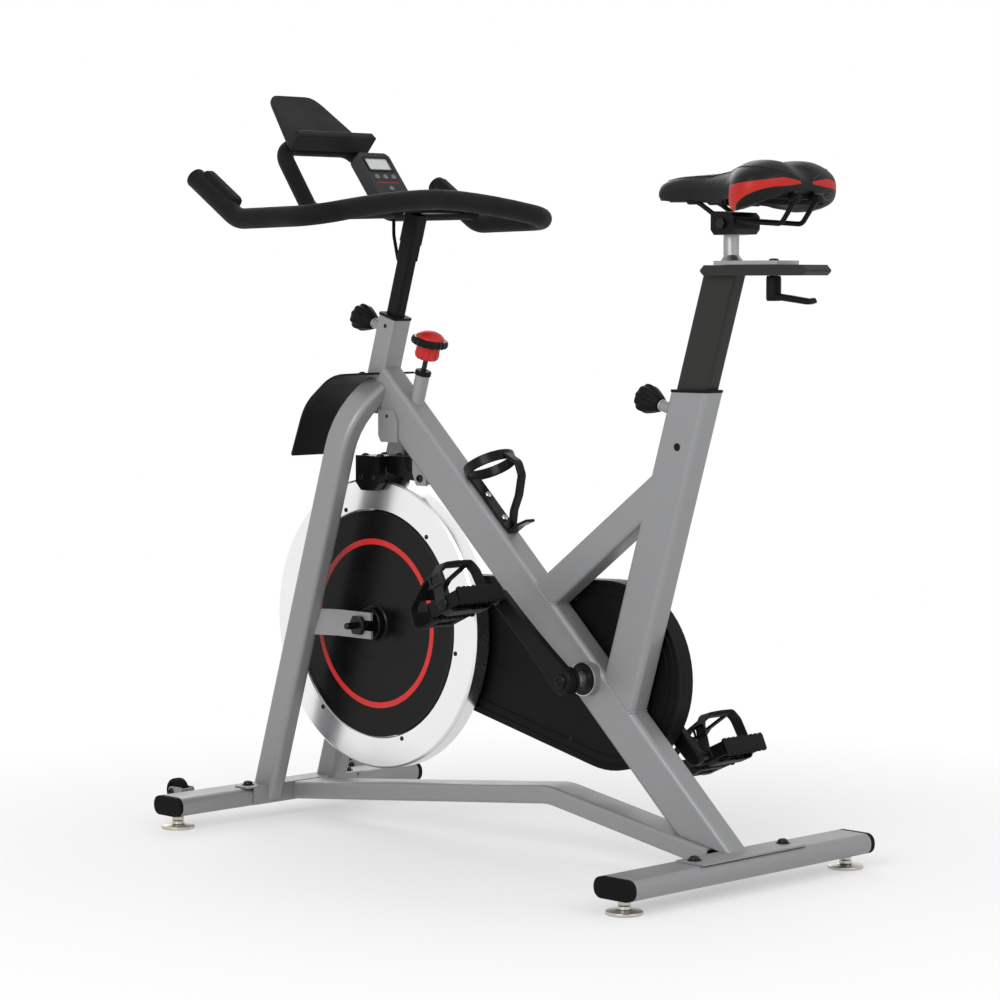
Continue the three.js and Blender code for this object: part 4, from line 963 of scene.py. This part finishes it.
def console():
    dress("console_body", "console", 1.6, 3)
    outside, inside = rounded_rect(54, 31, 4, 8), rounded_rect(46, 22.5, 2, 8)
    border = stack(((outside, 0), (outside, 1.1), (inside, 1.1), (inside, 0)), closed=True)
    on_console("display_border", border, "gloss", DISPLAY_HEIGHT)
    window, line = rounded_rect(49, 25, 2, 8), rounded_rect(44, 1.3, 0.5, 8)
    on_console("display_window", stack(((window, 0), (window, 0.5))), "display", DISPLAY_HEIGHT, -1.4, 0.1)
    on_console("panel_line", stack(((line, 0), (line, 0.35))), "red", -15.5, 0, 0.1)
    for k in (1, 2, 3, 4):
        dress(f"console_button_{k}", "key", 0.6)
    display_cable()


DECK_TOP = 963.5
CABLE = {"radius": 2.6, "route": [(262, 0, DECK_TOP), (262, 0, 925), (252, 0, 884), (238, 0, 868)]}


def display_cable():
    """The display's lead, down through the deck and into the post."""
    points = rounded(CABLE["route"], 40, 6)
    mesh = sweep(points, circle(CABLE["radius"], 16))
    lead = piece("display_lead", mesh, "handlebar", "rubber", 0, stands_for="display_cable")


def media_holder():
    dress("media_holder", "holder", 1.8, 4)
    up, out = Vector((92, 0, 82)).normalized(), Vector((-82, 0, 92)).normalized()
    middle = Vector((408, 0, 1066)) + out * 19 + up * 2
    route = [middle + sideways(y) for y in (-81, -79, 79, 81)]
    bar = sweep(route, rounded_rect(9.5, 14.5, 4, 6), across=out, scale=narrow_ends(0.8))
    piece("holder_bar", bar, "handlebar", "holder", 0.6)


def posts():
    dress("handlebar_post", "black_steel", 1.0, 3)
    dress("seat_post", "post_steel", 1.0, 3)
    dress("saddle_slider", "slider", 0.8, 3)
    dress("saddle_clamp", "black_steel", 2.0, 3)
    for k, (x, y) in enumerate(((198, 46), (198, -46), (262, 50), (262, -50))):
        dome_bolt(f"deck_bolt_{k}", (x, y, DECK_TOP), "handlebar", 5, 4)
    socket_screw("slider_screw", (-501, 0, span("seat_post")[1].z + 6), (0, 0, 1), 7, 3, "saddle")
    for direction in (1, -1):
        at = (-431, direction * 28, 933)
        hex_nut(f"clamp_nut_{direction + 1}", at, (0, direction, 0), "saddle", 8, 5)


def clamp_lever():
    place = pivot("seat_clamp_turn")
    low, high = span("seat_clamp_lever")
    hub = [(6.4, low.z + 5), (9, low.z + 4), (10.4, low.z + 7), (10.4, high.z - 4), (9.4, high.z),
           (6.4, high.z)]
    cap = [(0, low.z + 4), (6.4, low.z + 4), (6.4, low.z + 8), (0, low.z + 8)]
    reach = [(x, 0, low.z + z) for x, z in ((0, 11), (-34, 7), (-66, 3), (-71, 5))]

    def taper(t):
        return 1.15 - 0.3 * t + (0.12 if t > 0.9 else 0)

    handle = sweep(rounded(reach, 20, 8), rounded_rect(13, 8, 3, 4), scale=taper)
    place.z = 0
    mesh = joined(lathe(hub, 40), lathe(cap, 24), handle)
    piece("lever_moulding", mesh, "clamp_lever", "plastic", 1.2, place, stands_for="seat_clamp_lever")


def bottle_cage():
    """A spine bolted along the beam, a tilted hoop, a tongue down to the toe and a tab behind it."""
    heading, lift = beam_axes()
    turn = Matrix.Rotation(-atan(BEAM["slope"]), 3, "Y")
    foot = Vector((56, 0, BEAM["slope"] * 56 + BEAM["rise"])) + lift * BEAM["drop"]
    spine = sweep([(-42, 0, 2), (-34, 0, 2), (80, 0, 2), (88, 0, 2)], rounded_rect(22, 4, 1.6, 3),
                  scale=narrow_ends(0.8))
    tilt = radians(19)
    ring = [(62 - w * sin(tilt), y, 40.5 + w * cos(tilt)) for y, w in circle(38.5, 48)]
    hoop = sweep(ring, rounded_rect(16, 4, 1.8, 3), across=(cos(tilt), 0, sin(tilt)), closed=True)
    tongue = [(52.5, 0, 76), (23.5, 0, 86), (4.5, 0, 77.5), (-12, 0, 51), (-20, 0, 28), (-38, 0, 2)]
    tab = [(-40, 0, 1), (-45, 0, 22), (-54, 0, 40.5)]
    mesh = joined(spine, hoop, ribbon(rounded(tongue, 12, 6), 16, 5), ribbon(rounded(tab, 14, 6), 20, 4.4))
    piece("bottle_cage_moulding", mesh, "frame", "gloss", 0.4, foot, turn, "bottle_cage")
    for k, place in enumerate((-14, 34)):
        at = foot + heading * place + lift * 4.2
        socket_screw(f"bottle_cage_screw_{k}", at, lift, 5, 3.4, material="zinc")


# ---------- saddle ----------
# Stations from the nose to the rear: x, half-width, lowest edge, crown.
SADDLE_STATIONS = ((-297, 8, 968, 978), (-299, 15, 963, 984), (-304, 21, 960, 989), (-314, 26, 958, 993),
                   (-330, 28, 957, 996), (-360, 29, 957, 998), (-390, 30, 957, 999), (-415, 34, 956, 1000),
                   (-437, 41, 953, 1002), (-455, 49, 949, 1006), (-471, 62, 942, 1010), (-484, 76, 937, 1013),
                   (-498, 88, 937, 1015), (-513, 94, 940, 1015), (-528, 94, 945, 1014), (-541, 88, 950, 1011),
                   (-551, 75, 956, 1006), (-558, 56, 963, 1000), (-562, 32, 973, 994))
SADDLE_REAR = -500
SADDLE_MIDDLE = -470
HOLLOW_DEPTH, HOLLOW_TOP = 26, 972


def saddle_ring(mesh, station):
    """One closed cross-section: a crowned top with a central dip, and a hollow underside."""
    x, half, low, high = station
    middle = low + 0.45 * (high - low)
    rearness = min(1, max(0, (-x - 420) / 60))
    ring = []
    for c, s in circle(1, 56):
        y = half * copysign(abs(c) ** 0.72, c)
        share = abs(y) / half
        if s >= 0:
            z = middle + (high - middle) * s ** 0.8
            z -= rearness * 7 * exp(-(y / 15) ** 2) * s
            z += rearness * 2 * exp(-((abs(y) - 42) / 22) ** 2) * s
        else:
            z = middle - (middle - low) * abs(s) ** 0.55
            hollow = max(0, min(HOLLOW_DEPTH, HOLLOW_TOP - low)) * max(0, 1 - (share / 0.82) ** 4)
            z = min(middle - 2, z + hollow)
        ring.append(mesh.verts.new((x, y, z)))
    return ring


def apply_modifiers(obj):
    data = bpy.data.meshes.new_from_object(obj.evaluated_get(bpy.context.evaluated_depsgraph_get()))
    old = obj.data
    obj.modifiers.clear()
    obj.data = data
    bpy.data.meshes.remove(old)


def reshape(obj, kind, **settings):
    """Adds a modifier and makes its result the object's own mesh."""
    modify(obj, kind, **settings)
    apply_modifiers(obj)


CLOTH = {"quality": 6, "mass": 0.3, "use_pressure": True, "uniform_pressure_force": 4,
         "tension_stiffness": 25, "bending_stiffness": 1.5}


def inflate(obj, cap):
    """Cloth under a little air pressure rounds the pad; no point moves further than cap."""
    before = [v.co.copy() for v in obj.data.vertices]
    settings = modify(obj, "CLOTH").settings
    for key, value in CLOTH.items():
        setattr(settings, key, value)
    settings.effector_weights.gravity = 0
    for number in range(1, 21):
        SCENE.frame_set(number)
    apply_modifiers(obj)
    for vertex, start in zip(obj.data.vertices, before):
        step = vertex.co - start
        if step.length > cap:
            vertex.co = start + step * (cap / step.length)
    SCENE.frame_set(1)


# The coloured panel: its middle height, and the angles where it starts and ends.
ACCENT = {"line": 986.5, "start": 12, "end": 103}


def accent_bounds(angle):
    """Lower and upper height of the coloured panel at an angle round the seat, 0 at the back."""
    t = angle / 100
    low = ACCENT["line"] - 6 * min(t, 0.43) / 0.43 - 140 * max(0, t - 0.43) ** 2
    high = ACCENT["line"] + 6.5 * min(t / 0.4, 1) - 12 * max(0, t - 0.4) / 0.6
    return low, high


def mark_accent(obj):
    """Stores how far inside the coloured side panel each point lies, in millimetres."""
    layer = obj.data.attributes.new("accent", "FLOAT", "POINT")
    values = []
    for vertex in obj.data.vertices:
        x, y, z = vertex.co / MM
        angle = degrees(atan2(abs(y), SADDLE_REAR - x))
        low, high = accent_bounds(angle)
        outward = Vector((x - SADDLE_MIDDLE, y, 0)).normalized()
        ends = min(angle - ACCENT["start"], ACCENT["end"] - angle) * 0.9
        facing = (vertex.normal.dot(outward) - 0.1) * 20
        values.append(min(high - z, z - low, ends, facing))
    layer.data.foreach_set("value", values)


def two_tone_vinyl():
    """The black cover with its coloured panel, split along a clean edge."""
    s = Surface("saddle_cover", (0.0045, 0.0045, 0.0047), 0.45, **specular(0.16))
    s.mottle(16, 0.4, 0.65).worn(80, 0.25, 2.2)
    where = add_node(s.tree, "Attribute", attribute_name="accent")
    s.tint(s.remap(where.outputs["Fac"], -0.25, 0.25, 0, 1), (0.4, 0.018, 0.013))
    s.smudge(20, 0.38, 0.55)
    s.bump(s.remap(where.outputs["Fac"], -1.2, 1.2, 0, 1), 0.0006, 0.3)
    s.bump(s.cells(650), 0.00018, 0.5)
    s.bump(s.noise(150, 4), 0.0003, 0.25)
    return s.material


MATERIAL["cover"] = two_tone_vinyl()


def saddle_pad():
    mesh = bmesh.new()
    skin(mesh, [saddle_ring(mesh, station) for station in SADDLE_STATIONS])
    pad = new_object("saddle_cover", mesh, "cover")
    reshape(pad, "SUBSURF", levels=1)
    reshape(pad, "REMESH", voxel_size=4 * MM)
    inflate(pad, 3 * MM)
    reshape(pad, "SMOOTH", iterations=3)
    reshape(pad, "SUBSURF", levels=1)
    mark_accent(pad)
    shade_smooth(pad)
    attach(pad, "saddle")
    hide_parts("saddle_pad")
    return pad


# The left seam in plan, from the nose to the rear.
SEAM = ((-318, 12), (-360, 14), (-405, 16), (-435, 22), (-458, 34), (-478, 52), (-498, 68), (-520, 74),
        (-540, 66), (-552, 48), (-557, 26), (-558, 8))


def saddle_seams(pad):
    """Raised seams along the top of the nose and round the wings."""
    pad = pad.evaluated_get(bpy.context.evaluated_depsgraph_get())
    for side_name, side in SIDES:
        route = []
        for a, b in zip(SEAM, SEAM[1:]):
            for t in (0, 0.2, 0.4, 0.6, 0.8):
                point, normal = on_surface(pad, a[0] + (b[0] - a[0]) * t, side * (a[1] + (b[1] - a[1]) * t))
                if point:
                    route.append(point + normal * 0.2)
        route = relaxed(relaxed(route))
        piece(f"saddle_seam_{side_name}", sweep(route, circle(0.9, 8)), "saddle", "thread", 0)


def relaxed(route):
    """Evens out a route by averaging each point with its neighbours."""
    inner = [(a + b * 2 + c) / 4 for a, b, c in zip(route, route[1:], route[2:])]
    return [route[0], *inner, route[-1]]


RAIL_SIDE = 22


def saddle_underside():
    """The moulded base under the pad, with its ribs and rail sockets."""
    dress("saddle_shell", "plastic", 1.2)
    for side_name, side in SIDES:
        route = [(-372, 966.5), (-387, 960), (-424, 938), (-532, 931), (-556, 962), (-556, 966.5)]
        points = rounded([(x, side * RAIL_SIDE, z) for x, z in route], 12, 6)
        piece(f"saddle_rail_{side_name}", sweep(points, circle(3.5, 20)), "saddle", "black_steel", 0,
              stands_for="saddle_rails" if side > 0 else None)
        for end, (x, z) in (("front", route[0]), ("rear", route[-1])):
            socket = lathe([(0, -9), (4.6, -9), (5.8, -6), (5.8, 6), (4.6, 9), (0, 9)], 32)
            piece(f"rail_socket_{end}_{side_name}", socket, "saddle", "plastic", 0.6,
                  (x, side * RAIL_SIDE, z - 1), along((1, 0, 0)))
    for k, x in enumerate((-440, -470, -500, -530)):
        reach = min(70, 22 + (-420 - x) * 0.9)
        piece(f"saddle_rib_{k}", block((3, 2 * reach, 8), (x, 0, 961)), "saddle", "plastic", 0.8)


# ---------- assembly ----------
paint_frame()
stabilizer_details()
transport_wheels()
frame_details()
weld_beads()
flywheel()
brake()
resistance_knob()
pop_pin("handlebar_pin", "handlebar_pin_pull", "handlebar_pop_pin")
pop_pin("seat_pin", "seat_pin_pull", "seat_pop_pin")
cranks()
for label, sign in SIDES:
    pedal(label, sign)
belt_guard()
handlebar()
media_loop()
console()
media_holder()
posts()
clamp_lever()
bottle_cage()
saddle_seams(saddle_pad())
saddle_underside()
add_camera()
add_studio()
